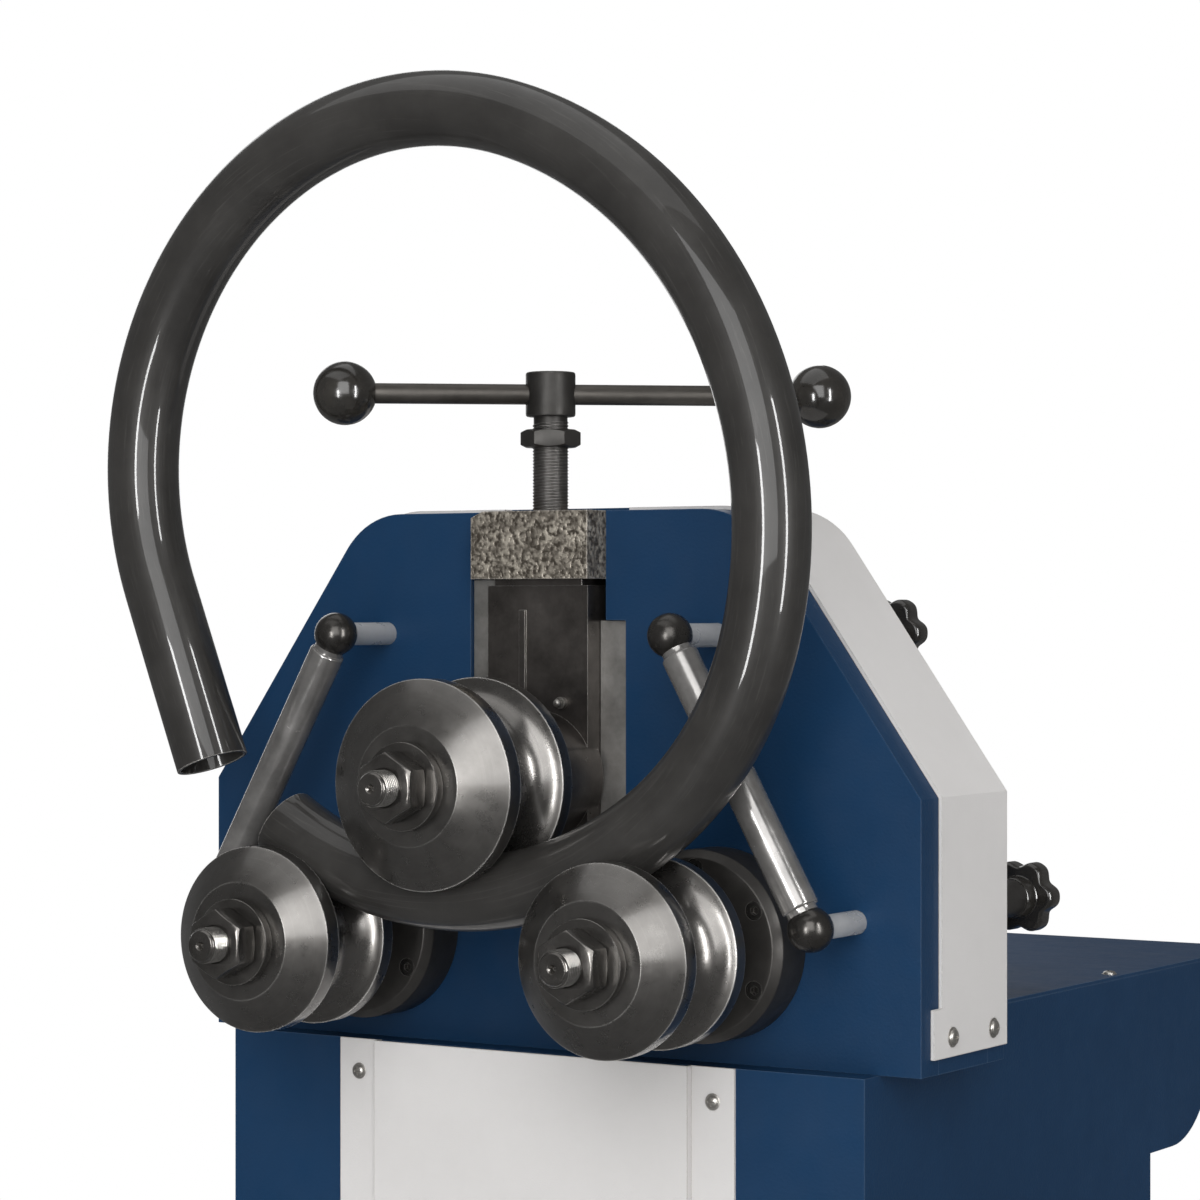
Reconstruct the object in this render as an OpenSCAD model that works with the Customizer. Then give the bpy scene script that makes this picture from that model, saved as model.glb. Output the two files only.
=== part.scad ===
// Three-roll angle and tube bender: a hand-screwed upper roll, two geared lower rolls,
// a plate head on a sheet-steel base, and a bent tube lying in the rolls.
// Axes: X across the head, Y from the front plate's face to the rear, Z up from the floor.

/* [Base] */
// Width of the base across its side walls
base_w = 582; // [560:2:620]
// Height of the shelf that the head stands on
shelf_h = 780; // [740:5:840]
// How far the shelf stands out in front of the head
shelf_lead = 22; // [16:1:40]
// Rise of the rear housing over the shelf
housing_rise = 33; // [24:1:44]
// Rear edge of the housing behind the head's face
housing_reach = 738; // [700:2:800]
// Depth of the rear housing's side below its lid
housing_drop = 155; // [145:1:170]
// Depth of the pedestal column from front to rear
pedestal_d = 522; // [460:2:530]
// Sheet thickness of the base
base_wall = 4; // [3:0.5:5]
// Thickness of the shelf plate under the head
shelf_t = 8; // [6:1:12]
// Thickness of the foot plate
foot_t = 12; // [8:1:20]
// How far the foot plate stands out round the column
foot_margin = 42; // [34:1:60]
// Diameter of the anchor holes
anchor_d = 18; // [12:1:22]
// Thickness of the lid over the drive
lid_t = 3; // [2:0.5:4]

/* [Front panel] */
// Width of the front panel across its flanges
panel_w = 365; // [340:1:380]
// Width of the panel's raised middle
panel_crown_w = 290; // [260:1:300]
// Height of the raised middle over the flanges
panel_crown_h = 8; // [5:1:12]
// Sheet thickness of the panel
panel_t = 2; // [1.5:0.5:3]
// Height of the panel's lower edge over the floor
panel_bottom = 120; // [80:5:200]

/* [Head] */
// Width of the head plates
head_w = 652; // [640:1:680]
// Height of the head plates over the shelf
head_h = 420; // [410:1:440]
// Height of the knees where the sides meet the shoulders
knee_h = 204; // [190:1:220]
// Width of the flat top before its corners are rounded
top_flat_w = 348; // [330:1:370]
// Rounding of the two top corners
top_corner_r = 65; // [50:1:80]
// Thickness of each head plate
plate_t = 28; // [25:0.5:32]
// Depth of the head over both plates
head_d = 138; // [134:1:150]
// Sheet thickness of the side covers
cover_t = 3; // [2:0.5:4]
// Gap between the shelf and the covers' lower edge
cover_gap = 12; // [8:1:20]
// How far each cover's tab reaches forward over the front plate
cover_tab_reach = 13; // [8:1:18]
// Height of the tab
cover_tab_h = 37; // [30:1:45]

/* [Rolls] */
// Distance between the two lower roll axes
lower_span = 314; // [308:1:318]
// Height of the lower roll axes over the shelf
lower_rise = 91; // [89:1:94]
// Distance from the head's face forward to the middle of the grooves
groove_lead = 128; // [124:1:134]
// Width of each roll
roll_w = 86; // [80:1:90]
// Diameter of the upper roll
upper_roll_d = 158; // [152:1:162]
// Diameter of the lower rolls
lower_roll_d = 142; // [138:1:146]
// Depth of the groove that takes the tube
groove_depth = 24.8; // [22:0.2:26]
// Diameter of the flat hub at the rolls' front
roll_hub_d = 90; // [80:1:96]
// Length of the cone between rim and hub
roll_cone = 19; // [14:1:22]
// Small chamfer on the rims
rim_chamfer = 2; // [1:0.5:3]

/* [Bent tube] */
// Outer diameter of the tube being bent
tube_d = 57; // [54:0.5:58]
// Wall of that tube
tube_wall = 3; // [2:0.5:5]
// Bending radius at the tube's centre line where it lies in the rolls
ring_r = 292; // [288:1:296]
// Angle of the tube's rear end to the left of its lowest point
ring_tail_angle = 33; // [31:0.5:35]
// Angle to the right of its lowest point at which it leaves that radius
ring_leave_angle = 36; // [34:0.5:38]
// The further arcs of the hand-bent ring in turn: degrees turned, bending radius
ring_arcs = [[39, 238.5], [88, 323], [128, 267]];
// Length of the straight free end
free_end = 146; // [120:1:150]

/* [Roll shafts] */
// Diameter of the roll shafts
shaft_d = 40; // [36:1:42]
// Diameter of the shaft collars behind the rolls
shaft_collar_d = 60; // [54:1:66]
// Diameter of the threaded stubs
stub_d = 27; // [22:1:30]
// How far the stubs stand out of their nuts
stub_out = 16; // [8:1:24]
// Width across the flats of the roll nuts
roll_nut_af = 46; // [41:1:50]
// Thickness of the roll nuts
roll_nut_t = 22; // [18:1:26]
// Diameter of the washers under the roll nuts
washer_d = 66; // [60:1:72]
// Thickness of the washers
washer_t = 8; // [5:1:10]
// Outer diameter of the bronze bushes
bush_d = 54; // [50:1:58]
// Diameter of the ring nuts at the shafts' rear ends
ring_nut_d = 58; // [52:1:62]
// Thickness of the ring nuts
ring_nut_t = 11; // [8:1:12]

/* [Bearing housings] */
// Diameter of the housings in front of the head
housing_d = 146; // [136:1:150]
// How far the housings stand out of the front plate
housing_lead = 40; // [34:1:46]
// Diameter of the spigots in the plate
spigot_d = 90; // [80:1:100]
// Diameter of the caps on the rear plate
rear_cap_d = 94; // [86:1:96]
// Depth of the caps
rear_cap_t = 18; // [16:1:24]

/* [Slide] */
// Width of the slide between its gibs
slide_w = 93; // [88:1:96]
// How far the slide stands out in front of the head
slide_lead = 14; // [12:1:18]
// How far the slide stands out behind the head
slide_tail = 12; // [8:1:20]
// Width of the slide between the two plates
slide_waist_w = 132; // [124:1:140]
// Depth of the slide below the upper roll's axis
slide_below = 58; // [54:1:60]
// Diameter of the bearing nose in front of the slide
nose_d = 104; // [92:1:110]
// How far the nose reaches in front of the head
nose_lead = 75; // [70:1:78]
// Height of the slide's shoulders below the nut block, more than the lift
slide_shoulder = 32; // [26:1:40]
// Gap between the slide's keeper and the roof of its pocket, more than the lift
slide_gap = 24; // [23.5:0.5:26]
// Thickness of the keeper plate on the slide
keeper_t = 7; // [6:0.5:8]
// Width of the raised index rib on the slide's front
index_rib_w = 5.5; // [4:0.5:8]
// Distance of that rib's outer edge to the left of the middle
index_rib_x = 16; // [12:1:20]
// How far the rib stands out of the slide
index_rib_lead = 2; // [1:0.5:3]
// Width of the slot in the head plates
slot_w = 144; // [140:1:150]
// Height of the slot's floor over the shelf
slot_floor = 125; // [118:1:132]
// How far the gibs lie back from the plates' faces
gib_recess = 4; // [2:1:6]
// Height of the right gib's top over the shelf
right_gib_top = 335; // [320:1:345]

/* [Nut block] */
// Width of the nut block in the slot
nut_block_w = 108; // [100:1:116]
// Height of the nut block
nut_block_h = 53; // [48:1:58]
// How far the nut block stands out in front of the head
nut_block_lead = 27; // [24:1:32]
// Width of its flange behind the front plate
nut_flange_w = 190; // [180:1:196]
// Thickness of that flange
nut_flange_t = 22; // [16:1:26]
// Height of the pocket in its underside that the slide rises into
pocket_h = 26; // [25:1:28]
// Thickness of the wall in front of the pocket
pocket_wall = 11.5; // [10:0.5:12]
// Width and height of the cut on the block's upper left corner
block_cut = [11, 5];
// Outer diameter of the bronze nut
bronze_nut_d = 44; // [40:1:46]

/* [Screw and handle] */
// Diameter of the screw spindle
spindle_d = 28; // [26:1:28]
// Distance of the spindle's axis behind the head's face
spindle_y = 5; // [4:0.5:7]
// Diameter of the spindle's neck in the keeper
neck_d = 18; // [16:1:20]
// Length of the spindle's foot in the slide
spindle_foot = 26; // [20:1:32]
// Height of the lock nut's lower face over the head
lock_nut_rise = 50; // [44:1:54]
// Width across the flats of the lock nut
lock_nut_af = 41; // [38:1:46]
// Thickness of the lock nut
lock_nut_t = 14; // [12:1:18]
// Height of the handle hub's lower face over the head
hub_rise = 74; // [72:1:80]
// Diameter of the handle hub
hub_d = 39; // [36:1:44]
// Height of the handle hub
hub_h = 35; // [32:1:40]
// Diameter of the sliding bar
bar_d = 16; // [14:1:18]
// Distance from the spindle to the left ball's centre
bar_left = 161; // [140:1:180]
// Distance from the spindle to the right ball's centre
bar_right = 214; // [190:1:220]
// Angle of the bar from the head's width, left end to the front
bar_angle = 40; // [32:1:45]
// Diameter of the ball knobs
ball_d = 50; // [44:1:52]

/* [Guide bars] */
// Distance of the upper guide rods from the middle
guide_top_x = 153.5; // [148:0.5:158]
// Height of the upper guide rods over the shelf
guide_top_z = 324; // [318:1:330]
// Distance of the lower guide rods from the middle
guide_foot_x = 272; // [268:1:276]
// Height of the lower guide rods over the shelf
guide_foot_z = 112; // [108:1:118]
// Distance from the head's face forward to the guide bars' axes
guide_lead = 68; // [66:1:70]
// Diameter of the guide bars
guide_bar_d = 28; // [24:1:30]
// Diameter of the knuckles at their ends
knuckle_d = 34; // [31:1:36]
// Diameter of the rods that carry the guide bars
guide_rod_d = 18; // [14:1:20]
// Outer diameter of the sleeves behind the head
sleeve_d = 30; // [26:1:34]
// Length of those sleeves
sleeve_l = 124; // [110:1:134]
// Diameter of the star knobs over their lobes
star_d = 60; // [54:1:64]
// Thickness of the star knobs
star_t = 20; // [16:1:24]
// Length of the star knobs' hubs
star_hub_t = 14; // [8:1:16]

/* [Gears] */
// Module of the gear teeth
gear_module = 4; // [4:1:4]
// Teeth on each roll gear
roll_teeth = 40; // [40:1:40]
// Teeth on the idler gear
idler_teeth = 40; // [40:1:40]
// Teeth on the drive pinion
pinion_teeth = 20; // [18:1:21]
// Face width of the gears
gear_face = 36; // [28:1:40]
// Distance from the head's face to the gears
gear_y = 52; // [46:1:56]
// Backlash of the meshing teeth along the pitch circle
backlash = 0.3; // [0.2:0.05:0.5]
// Diameter of the idler's axle
idler_axle_d = 30; // [26:1:34]

/* [Drive] */
// Diameter of the gearbox's output shaft
output_d = 35; // [30:1:38]
// Width of the gearbox
gearbox_w = 164; // [150:2:190]
// Length of the gearbox
gearbox_l = 180; // [150:2:200]
// Diameter of the motor over its fins
motor_d = 136; // [124:1:138]
// Length of the motor with its cowl
motor_l = 210; // [180:2:214]
// Length of the fan cowl at the motor's end
motor_cowl = 46; // [36:1:56]
// Depth of the motor's cooling fins
motor_fin = 9; // [6:0.5:12]
// Thickness of each fin
motor_fin_t = 3; // [2:0.5:4]
// Length, width and reach of the motor's terminal box
terminal_box = [84, 64, 44];
// Diameter of the boss round the gearbox's output shaft
output_boss_d = 71; // [60:1:76]
// Thickness of the gearbox's foot
gearbox_foot_t = 14; // [10:1:18]

/* [Hidden] */

$fn = 64;
fit = 0.05;          // radial clearance of a running fit
slack = 0.3;         // gap between pieces that pass without touching
blue = [0.06, 0.17, 0.36];
pale = [0.80, 0.80, 0.79];
dark_steel = [0.20, 0.19, 0.18];
bright_steel = [0.66, 0.66, 0.64];
bronze = [0.62, 0.46, 0.24];
black = [0.05, 0.05, 0.05];
iron = [0.42, 0.41, 0.39];

rear_y = head_d - plate_t;
head_top = shelf_h + head_h;
slot_bottom = shelf_h + slot_floor;
groove_y = -groove_lead;
roll_front = groove_lead + roll_w / 2;
roll_rear = groove_lead - roll_w / 2;
hub_front = roll_front + roll_cone;

upper_touch = upper_roll_d / 2 - groove_depth;
lower_touch = lower_roll_d / 2 - groove_depth;
lower_x = lower_span / 2;
lower_z = shelf_h + lower_rise;
ring_z = lower_z + sqrt(pow(ring_r + tube_d / 2 + lower_touch, 2) - pow(lower_x, 2));
upper_z = ring_z - (ring_r - tube_d / 2 - upper_touch);

nut_block_bottom = head_top - nut_block_h;
pocket_roof = nut_block_bottom + pocket_h;
slide_top = pocket_roof - slide_gap - keeper_t;
gib_w = (slot_w - slide_w) / 2;
left_gib_top = nut_block_bottom - shelf_h;
bar_z = head_top + hub_rise + hub_h / 2;

gear_distance = gear_module * (roll_teeth + idler_teeth) / 2;
idler_z = lower_z - sqrt(pow(gear_distance, 2) - pow(lower_x, 2));
pinion_z = idler_z - gear_module * (idler_teeth + pinion_teeth) / 2;
line_angle = asin((lower_z - idler_z) / gear_distance);

lid_z = shelf_h + housing_rise;
housing_floor = lid_z - housing_drop;
housing_front = head_d + 2;
rear_lip = 15;
rear_slope = 42;
rear_r = 90;
inner_floor_t = 6;
column_rear = pedestal_d - shelf_lead;
drive_y = housing_front + 10;
sleeve_end = head_d + sleeve_l;

// A cylinder along Y between two depths.
module round_y(y0, y1, d) {
    translate([0, y1, 0]) rotate([90, 0, 0]) cylinder(h = y1 - y0, d = d);
}

// An outline drawn in X and Z, made solid between two depths.
module slab_y(y0, y1) {
    translate([0, y1, 0]) rotate([90, 0, 0]) linear_extrude(height = y1 - y0) children();
}

// A turned profile round the Y axis: [radius, distance in front of the head's face].
module turned_y(profile) {
    rotate([90, 0, 0]) rotate_extrude($fn = 96) polygon(profile);
}

// A hexagonal nut along Y with a round bore.
module nut_y(y0, y1, af, bore) {
    difference() {
        translate([0, y1, 0]) rotate([90, 0, 0]) cylinder(h = y1 - y0, d = af / cos(30), $fn = 6);
        round_y(y0 - 1, y1 + 1, bore);
    }
}

module both_sides() {
    children();
    mirror([1, 0, 0]) children();
}

// The head's outline, grown outwards by g all round but for its foot.
shoulder = [head_w / 2 - top_flat_w / 2, knee_h - head_h];
shoulder_l = norm(shoulder);
shoulder_n = [-shoulder[1], shoulder[0]] / shoulder_l;
corner_x = top_flat_w / 2 - top_corner_r * (1 - shoulder_n[1]) / shoulder_n[0];
function knee_up(g) =
    head_h + (g - shoulder_n[0] * (head_w / 2 + g - top_flat_w / 2)) / shoulder_n[1];

module head_half(g) {
    r = top_corner_r + g;
    polygon([[0, 0], [head_w / 2 + g, 0], [head_w / 2 + g, knee_up(g)],
        [corner_x + r * shoulder_n[0], head_h - top_corner_r + r * shoulder_n[1]],
        [corner_x, head_h + g], [0, head_h + g]]);
    translate([corner_x, head_h - top_corner_r]) circle(r = r, $fn = 96);
}

module head_outline(g = 0) {
    translate([0, shelf_h]) {
        head_half(g);
        mirror([1, 0]) head_half(g);
    }
}

tie_d = 36;
tie_places = [[235, 250], [nut_flange_w / 2 + tie_d / 2 + 2, 366]];
guide_places = [[guide_top_x, guide_top_z], [guide_foot_x, guide_foot_z]];

module at_lower(side) {
    translate([side * lower_x, 0, lower_z]) children();
}

module at_guides() {
    for (p = guide_places) translate([p[0], 0, shelf_h + p[1]]) children();
}

module at_ties() {
    for (p = tie_places) translate([p[0], 0, shelf_h + p[1]]) children();
}

// Side outline of the base over the column in Y and Z, drawn inside its sheet by g.
module housing_outline(g, front_top, rear_top) {
    lip_z = lid_z - rear_lip;
    r = rear_r - g;
    arc_z = housing_floor + rear_r;
    arc_y = housing_reach + ((arc_z - lip_z) * cos(rear_slope) - rear_r) / sin(rear_slope);
    polygon([[g - shelf_lead, housing_floor + g], [arc_y, housing_floor + g],
        [arc_y + r * sin(rear_slope), arc_z - r * cos(rear_slope)],
        [housing_reach - g, lip_z + g * (1 - sin(rear_slope)) / cos(rear_slope)],
        [housing_reach - g, rear_top], [housing_front + g, rear_top],
        [housing_front + g, front_top], [g - shelf_lead, front_top]]);
    translate([arc_y, arc_z]) intersection() {
        circle(r = r, $fn = 96);
        translate([-r, -r]) square([2 * r, r]);
    }
}

// An outline drawn in Y and Z, made solid across the width w.
module slab_x(w) {
    translate([-w / 2, 0, 0]) rotate([90, 0, 90]) linear_extrude(height = w) children();
}

panel_screw_z = [for (k = [0 : 3]) panel_bottom + 26 + k * (shelf_h - panel_bottom - 52) / 3];
panel_screw_x = (panel_w + panel_crown_w) / 4;
panel_screw_d = 6;
panel_screw_head = [12, 3];

module at_panel_screws() {
    both_sides() for (z = panel_screw_z) translate([panel_screw_x, -shelf_lead, z]) children();
}

lid_screw_y = [for (k = [0 : 2]) housing_front + 40 + k * (housing_reach - housing_front - 80) / 2];
lid_flange = 22;
lid_pad_l = 30;
lid_pad_t = 5;
lid_screw_d = 5;
lid_screw_head = [10, 2.5];

module at_lid_screws() {
    both_sides() for (y = lid_screw_y) translate([base_w / 2 - lid_flange / 2, y, lid_z]) children();
}

module base_cabinet() color(blue) {
    inner_w = base_w - 2 * base_wall;
    foot_w = base_w + 2 * foot_margin;
    foot_d = pedestal_d + 2 * foot_margin;
    difference() {
        union() {
            slab_x(base_w) housing_outline(0, shelf_h, lid_z);
            translate([-base_w / 2, -shelf_lead, 0]) cube([base_w, pedestal_d, housing_floor + 1]);
            translate([-foot_w / 2, -shelf_lead - foot_margin, 0]) cube([foot_w, foot_d, foot_t]);
        }
        slab_x(inner_w) housing_outline(base_wall, shelf_h - shelf_t, lid_z + 1);
        translate([-inner_w / 2, base_wall - shelf_lead, foot_t])
            cube([inner_w, pedestal_d - 2 * base_wall, housing_floor - foot_t]);
        translate([-panel_crown_w / 2 + 6, -shelf_lead - 1, panel_bottom + 30])
            cube([panel_crown_w - 12, base_wall + 2, housing_floor - panel_bottom - 50]);
        translate([-gear_slot_w / 2, gear_y - 6, shelf_h - shelf_t - 1])
            cube([gear_slot_w, gear_face + 12, shelf_t + 2]);
        at_panel_screws() round_y(-1, base_wall + 1, panel_screw_d);
        both_sides() for (y = foot_bolt_y)
            translate([foot_bolt_x, y, shelf_h - shelf_t - 1]) cylinder(h = shelf_t + 2, d = bolt_d);
        both_sides() for (y = [-shelf_lead - foot_margin / 2, column_rear + foot_margin / 2])
            translate([(base_w + foot_margin) / 2, y, -1]) cylinder(h = foot_t + 2, d = anchor_d);
    }
    both_sides() for (y = lid_screw_y)
        translate([base_w / 2 - base_wall - lid_flange, y - lid_pad_l / 2, lid_z - lid_pad_t])
            difference() {
                cube([lid_flange, lid_pad_l, lid_pad_t]);
                translate([lid_flange / 2 + base_wall, lid_pad_l / 2, -1])
                    cylinder(h = lid_pad_t + 2, d = lid_screw_d);
            }
}
gear_slot_w = 2 * sqrt(pow(gear_module * (idler_teeth / 2 + 1), 2)
    - pow(idler_z - shelf_h, 2)) + 14;
bolt_d = 12;
foot_bar_w = 76;
foot_bar_h = 50;
foot_bolt_x = base_w / 2 - base_wall - 20;
foot_bolt_y = [plate_t + 22, rear_y - 22];

module base_front_panel() color(pale) {
    difference() {
        translate([0, -shelf_lead, panel_bottom]) linear_extrude(height = shelf_h - panel_bottom)
            difference() {
                union() {
                    translate([-panel_w / 2, -panel_t]) square([panel_w, panel_t]);
                    translate([-panel_crown_w / 2, -panel_crown_h])
                        square([panel_crown_w, panel_crown_h]);
                }
                translate([-panel_crown_w / 2 + panel_t, panel_t - panel_crown_h])
                    square([panel_crown_w - 2 * panel_t, panel_crown_h]);
            }
        at_panel_screws() round_y(-panel_t - 1, 1, panel_screw_d);
    }
}

module panel_screws() color(dark_steel) {
    at_panel_screws() {
        round_y(-panel_t - panel_screw_head[1], -panel_t, panel_screw_head[0]);
        round_y(-panel_t - 0.5, base_wall, panel_screw_d);
    }
}

module rear_lid() color(blue) {
    difference() {
        translate([-base_w / 2, housing_front, lid_z])
            cube([base_w, housing_reach - housing_front, lid_t]);
        at_lid_screws() translate([0, 0, -1]) cylinder(h = lid_t + 2, d = lid_screw_d);
    }
}

module lid_screws() color(dark_steel) {
    at_lid_screws() {
        translate([0, 0, lid_t]) cylinder(h = lid_screw_head[1], d = lid_screw_head[0]);
        translate([0, 0, -lid_pad_t]) cylinder(h = lid_t + lid_pad_t + 0.5, d = lid_screw_d);
    }
}

// Bores that both head plates share: the slot, the guide rods and the lower shafts.
module guide_bores() {
    both_sides() at_guides() round_y(-1, head_d + 1, guide_rod_d + 2 * fit);
}

module head_front_plate() color(blue) {
    difference() {
        slab_y(0, plate_t) head_outline();
        slab_y(-1, plate_t + 1) {
            translate([-nut_block_w / 2, nut_block_bottom - 1]) square([nut_block_w, nut_block_h + 2]);
            translate([-slot_w / 2, slot_bottom])
                square([slot_w / 2 + 1, nut_block_bottom - slot_bottom]);
            translate([0, slot_bottom]) square([slot_w / 2, right_gib_top - slot_floor]);
            square_top = nut_block_bottom - shelf_h - right_gib_top;
            translate([0, shelf_h + right_gib_top - 1]) square([nut_block_w / 2, square_top + 2]);
        }
        for (side = [-1, 1]) at_lower(side) round_y(-1, plate_t + 1, spigot_d);
        guide_bores();
        translate([0, 0, idler_z]) round_y(plate_t - axle_seat, plate_t + 1, idler_axle_d);
        both_sides() translate([flange_bolt_x, 0, head_top - nut_block_h / 2])
            round_y(plate_t - bolt_seat, plate_t + 1, bolt_d);
    }
}
axle_seat = 16;
bolt_seat = 15;

module head_rear_plate() color(blue) {
    difference() {
        slab_y(rear_y, head_d) head_outline();
        slab_y(rear_y - 1, head_d + 1) translate([-slot_w / 2, slot_bottom])
            square([slot_w, nut_block_bottom - slot_bottom]);
        for (side = [-1, 1]) at_lower(side) round_y(rear_y - 1, head_d + 1, bush_d);
        guide_bores();
        translate([0, 0, idler_z]) round_y(rear_y - 1, head_d + 1, idler_axle_d);
        both_sides() at_ties() round_y(rear_y - 1, head_d + 1, bolt_d);
        both_sides() translate([foot_bolt_x, 0, shelf_h + foot_bar_h / 2]) {
            round_y(rear_y - 1, head_d + 1, bolt_d);
            round_y(head_d - bolt_d - 1, head_d + 1, bolt_d + 8);
        }
        at_cover_screws(1) cover_screw_hole();
        at_cover_screws(-1) cover_screw_hole();
        cap_screw_ring() round_y(rear_y + 6, head_d + 1, cap_screw_d);
    }
}
cap_screw_d = 6;

module cap_screw_ring() {
    for (side = [-1, 1]) at_lower(side) for (k = [0 : 3])
        rotate([0, 45 + k * 90, 0]) translate([rear_cap_d / 2 - 7, 0, 0]) children();
}

module head_tie_bars() color(dark_steel) {
    both_sides() at_ties() difference() {
        round_y(plate_t, rear_y, tie_d);
        round_y(rear_y - 30, rear_y + 1, bolt_d);
    }
}

module head_foot_bars() color(dark_steel) {
    difference() {
        both_sides() translate([head_w / 2 - foot_bar_w, plate_t, shelf_h])
            cube([foot_bar_w, rear_y - plate_t, foot_bar_h]);
        both_sides() for (y = foot_bolt_y)
            translate([foot_bolt_x, y, shelf_h - 1]) cylinder(h = 20, d = bolt_d);
        both_sides() translate([foot_bolt_x, 0, shelf_h + foot_bar_h / 2])
            round_y(rear_y - 18, rear_y + 1, bolt_d);
        at_cover_screws(1) cover_screw_hole();
        at_cover_screws(-1) cover_screw_hole();
    }
}

flange_bolt_x = (nut_flange_w + nut_block_w) / 4;

module head_bolts() color(dark_steel) {
    head_t = 8;
    af = 19;
    both_sides() at_ties() {
        nut_y(head_d, head_d + head_t, af, bolt_d);
        round_y(rear_y - 28, head_d + head_t - 1, bolt_d);
    }
    both_sides() translate([foot_bolt_x, 0, shelf_h + foot_bar_h / 2]) {
        round_y(head_d - bolt_d - 1, head_d - 1, bolt_d + 6);
        round_y(rear_y - 16, head_d - bolt_d, bolt_d);
    }
    both_sides() for (y = foot_bolt_y) translate([foot_bolt_x, y, shelf_h - shelf_t]) {
        translate([0, 0, -head_t]) cylinder(h = head_t, d = af / cos(30), $fn = 6);
        translate([0, 0, -1]) cylinder(h = shelf_t + 18, d = bolt_d);
    }
    both_sides() translate([flange_bolt_x, 0, head_top - nut_block_h / 2]) {
        nut_y(plate_t + nut_flange_t, plate_t + nut_flange_t + head_t, af, bolt_d);
        round_y(plate_t - bolt_seat + 1, plate_t + nut_flange_t + head_t - 1, bolt_d);
    }
}

cover_start = nut_block_w / 2 + 4;
cover_screw_d = 6;
cover_screw_up = 14.5;

module at_cover_screws(side) {
    for (y = [plate_t + 17, rear_y + 4])
        translate([side * (head_w / 2 + cover_t), y, shelf_h + cover_gap + cover_screw_up])
            rotate([0, side * 90, 0]) children();
}

module cover_screw_hole() {
    translate([0, 0, -14]) cylinder(h = 16, d = cover_screw_d);
}

module side_cover(side) {
    difference() {
        union() {
            slab_y(plate_t, head_d) difference() {
                head_outline(cover_t);
                head_outline();
                translate([side > 0 ? -head_w : -cover_start, 0])
                    square([head_w + cover_start, 2 * head_top]);
                translate([-head_w, 0]) square([2 * head_w, shelf_h + cover_gap]);
            }
            translate([side > 0 ? head_w / 2 : -head_w / 2 - cover_t,
                plate_t - cover_tab_reach, shelf_h + cover_gap])
                cube([cover_t, cover_tab_reach, cover_tab_h]);
        }
        at_cover_screws(side) cover_screw_hole();
    }
}

module side_cover_right() color(pale) side_cover(1);
module side_cover_left() color(pale) side_cover(-1);

module cover_screws() color(dark_steel) {
    for (side = [-1, 1]) at_cover_screws(side) {
        cylinder(h = 3, d = 12);
        translate([0, 0, -14]) cylinder(h = 14.5, d = cover_screw_d);
    }
}

module top_bridge() color(pale) {
    translate([-cover_start, plate_t + nut_flange_t - 12, head_top])
        cube([2 * cover_start, rear_y - plate_t - nut_flange_t + 12 + plate_t, cover_t]);
}

module nut_block() color(iron) {
    difference() {
        union() {
            slab_y(-nut_block_lead, plate_t) translate([0, nut_block_bottom])
                polygon([[-nut_block_w / 2, 0], [nut_block_w / 2, 0],
                    [nut_block_w / 2, nut_block_h], [block_cut[0] - nut_block_w / 2, nut_block_h],
                    [-nut_block_w / 2, nut_block_h - block_cut[1]]]);
            translate([-nut_flange_w / 2, plate_t, nut_block_bottom])
                cube([nut_flange_w, nut_flange_t, nut_block_h]);
        }
        translate([0, spindle_y, nut_block_bottom - 1])
            cylinder(h = nut_block_h + 2, d = bronze_nut_d);
        slab_y(pocket_wall - nut_block_lead, plate_t + nut_flange_t + 1)
            translate([-slide_w / 2 - slack, nut_block_bottom - 1])
                square([slide_w + 2 * slack, pocket_h + 1]);
        both_sides() translate([flange_bolt_x, 0, head_top - nut_block_h / 2])
            round_y(plate_t - 1, plate_t + nut_flange_t + 1, bolt_d);
    }
}

module spindle_nut() color(bronze) {
    nut_h = head_top - pocket_roof;
    translate([0, spindle_y, pocket_roof]) difference() {
        cylinder(h = nut_h, d = bronze_nut_d);
        translate([0, 0, -1]) cylinder(h = nut_h + 2, d = spindle_d + 2 * fit);
    }
}

// The two strips of one side, in the front and the rear plate, that guide the slide.
module gibs(front_top) {
    for (y = [gib_recess, rear_y], top = y < rear_y ? [front_top] : [left_gib_top])
        translate([slide_w / 2, y, slot_bottom])
            cube([gib_w, plate_t - gib_recess, shelf_h + top - slot_bottom]);
}

module gibs_left() color(bright_steel) mirror([1, 0, 0]) gibs(left_gib_top);
module gibs_right() color(bright_steel) gibs(right_gib_top);

housing_screw_d = 8;

module housing_screw_ring() {
    for (k = [0 : 5]) rotate([0, 30 + k * 60, 0])
        translate([(housing_d + spigot_d) / 4, 0, 0]) children();
}

module bearing_housing() {
    difference() {
        turned_y([[bush_d / 2, -plate_t], [spigot_d / 2, -plate_t], [spigot_d / 2, 0],
            [housing_d / 2, 0], [housing_d / 2, housing_lead - 6],
            [housing_d / 2 - 6, housing_lead], [bush_d / 2, housing_lead]]);
        housing_screw_ring() {
            round_y(-housing_lead - 1, -housing_lead + 9, housing_screw_d + 6);
            round_y(-housing_lead, 1, housing_screw_d);
        }
    }
}

module bearing_housing_left() color(dark_steel) at_lower(-1) bearing_housing();
module bearing_housing_right() color(dark_steel) at_lower(1) bearing_housing();

module housing_screws() color(dark_steel) {
    for (side = [-1, 1]) at_lower(side) housing_screw_ring() {
        round_y(-housing_lead + 1, -housing_lead + 9, housing_screw_d + 5);
        round_y(-housing_lead + 8, 0, housing_screw_d);
    }
    cap_screw_ring() {
        round_y(head_d + rear_cap_t, head_d + rear_cap_t + 5, 10);
        round_y(rear_y + 8, head_d + rear_cap_t + 1, cap_screw_d);
    }
}

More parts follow.
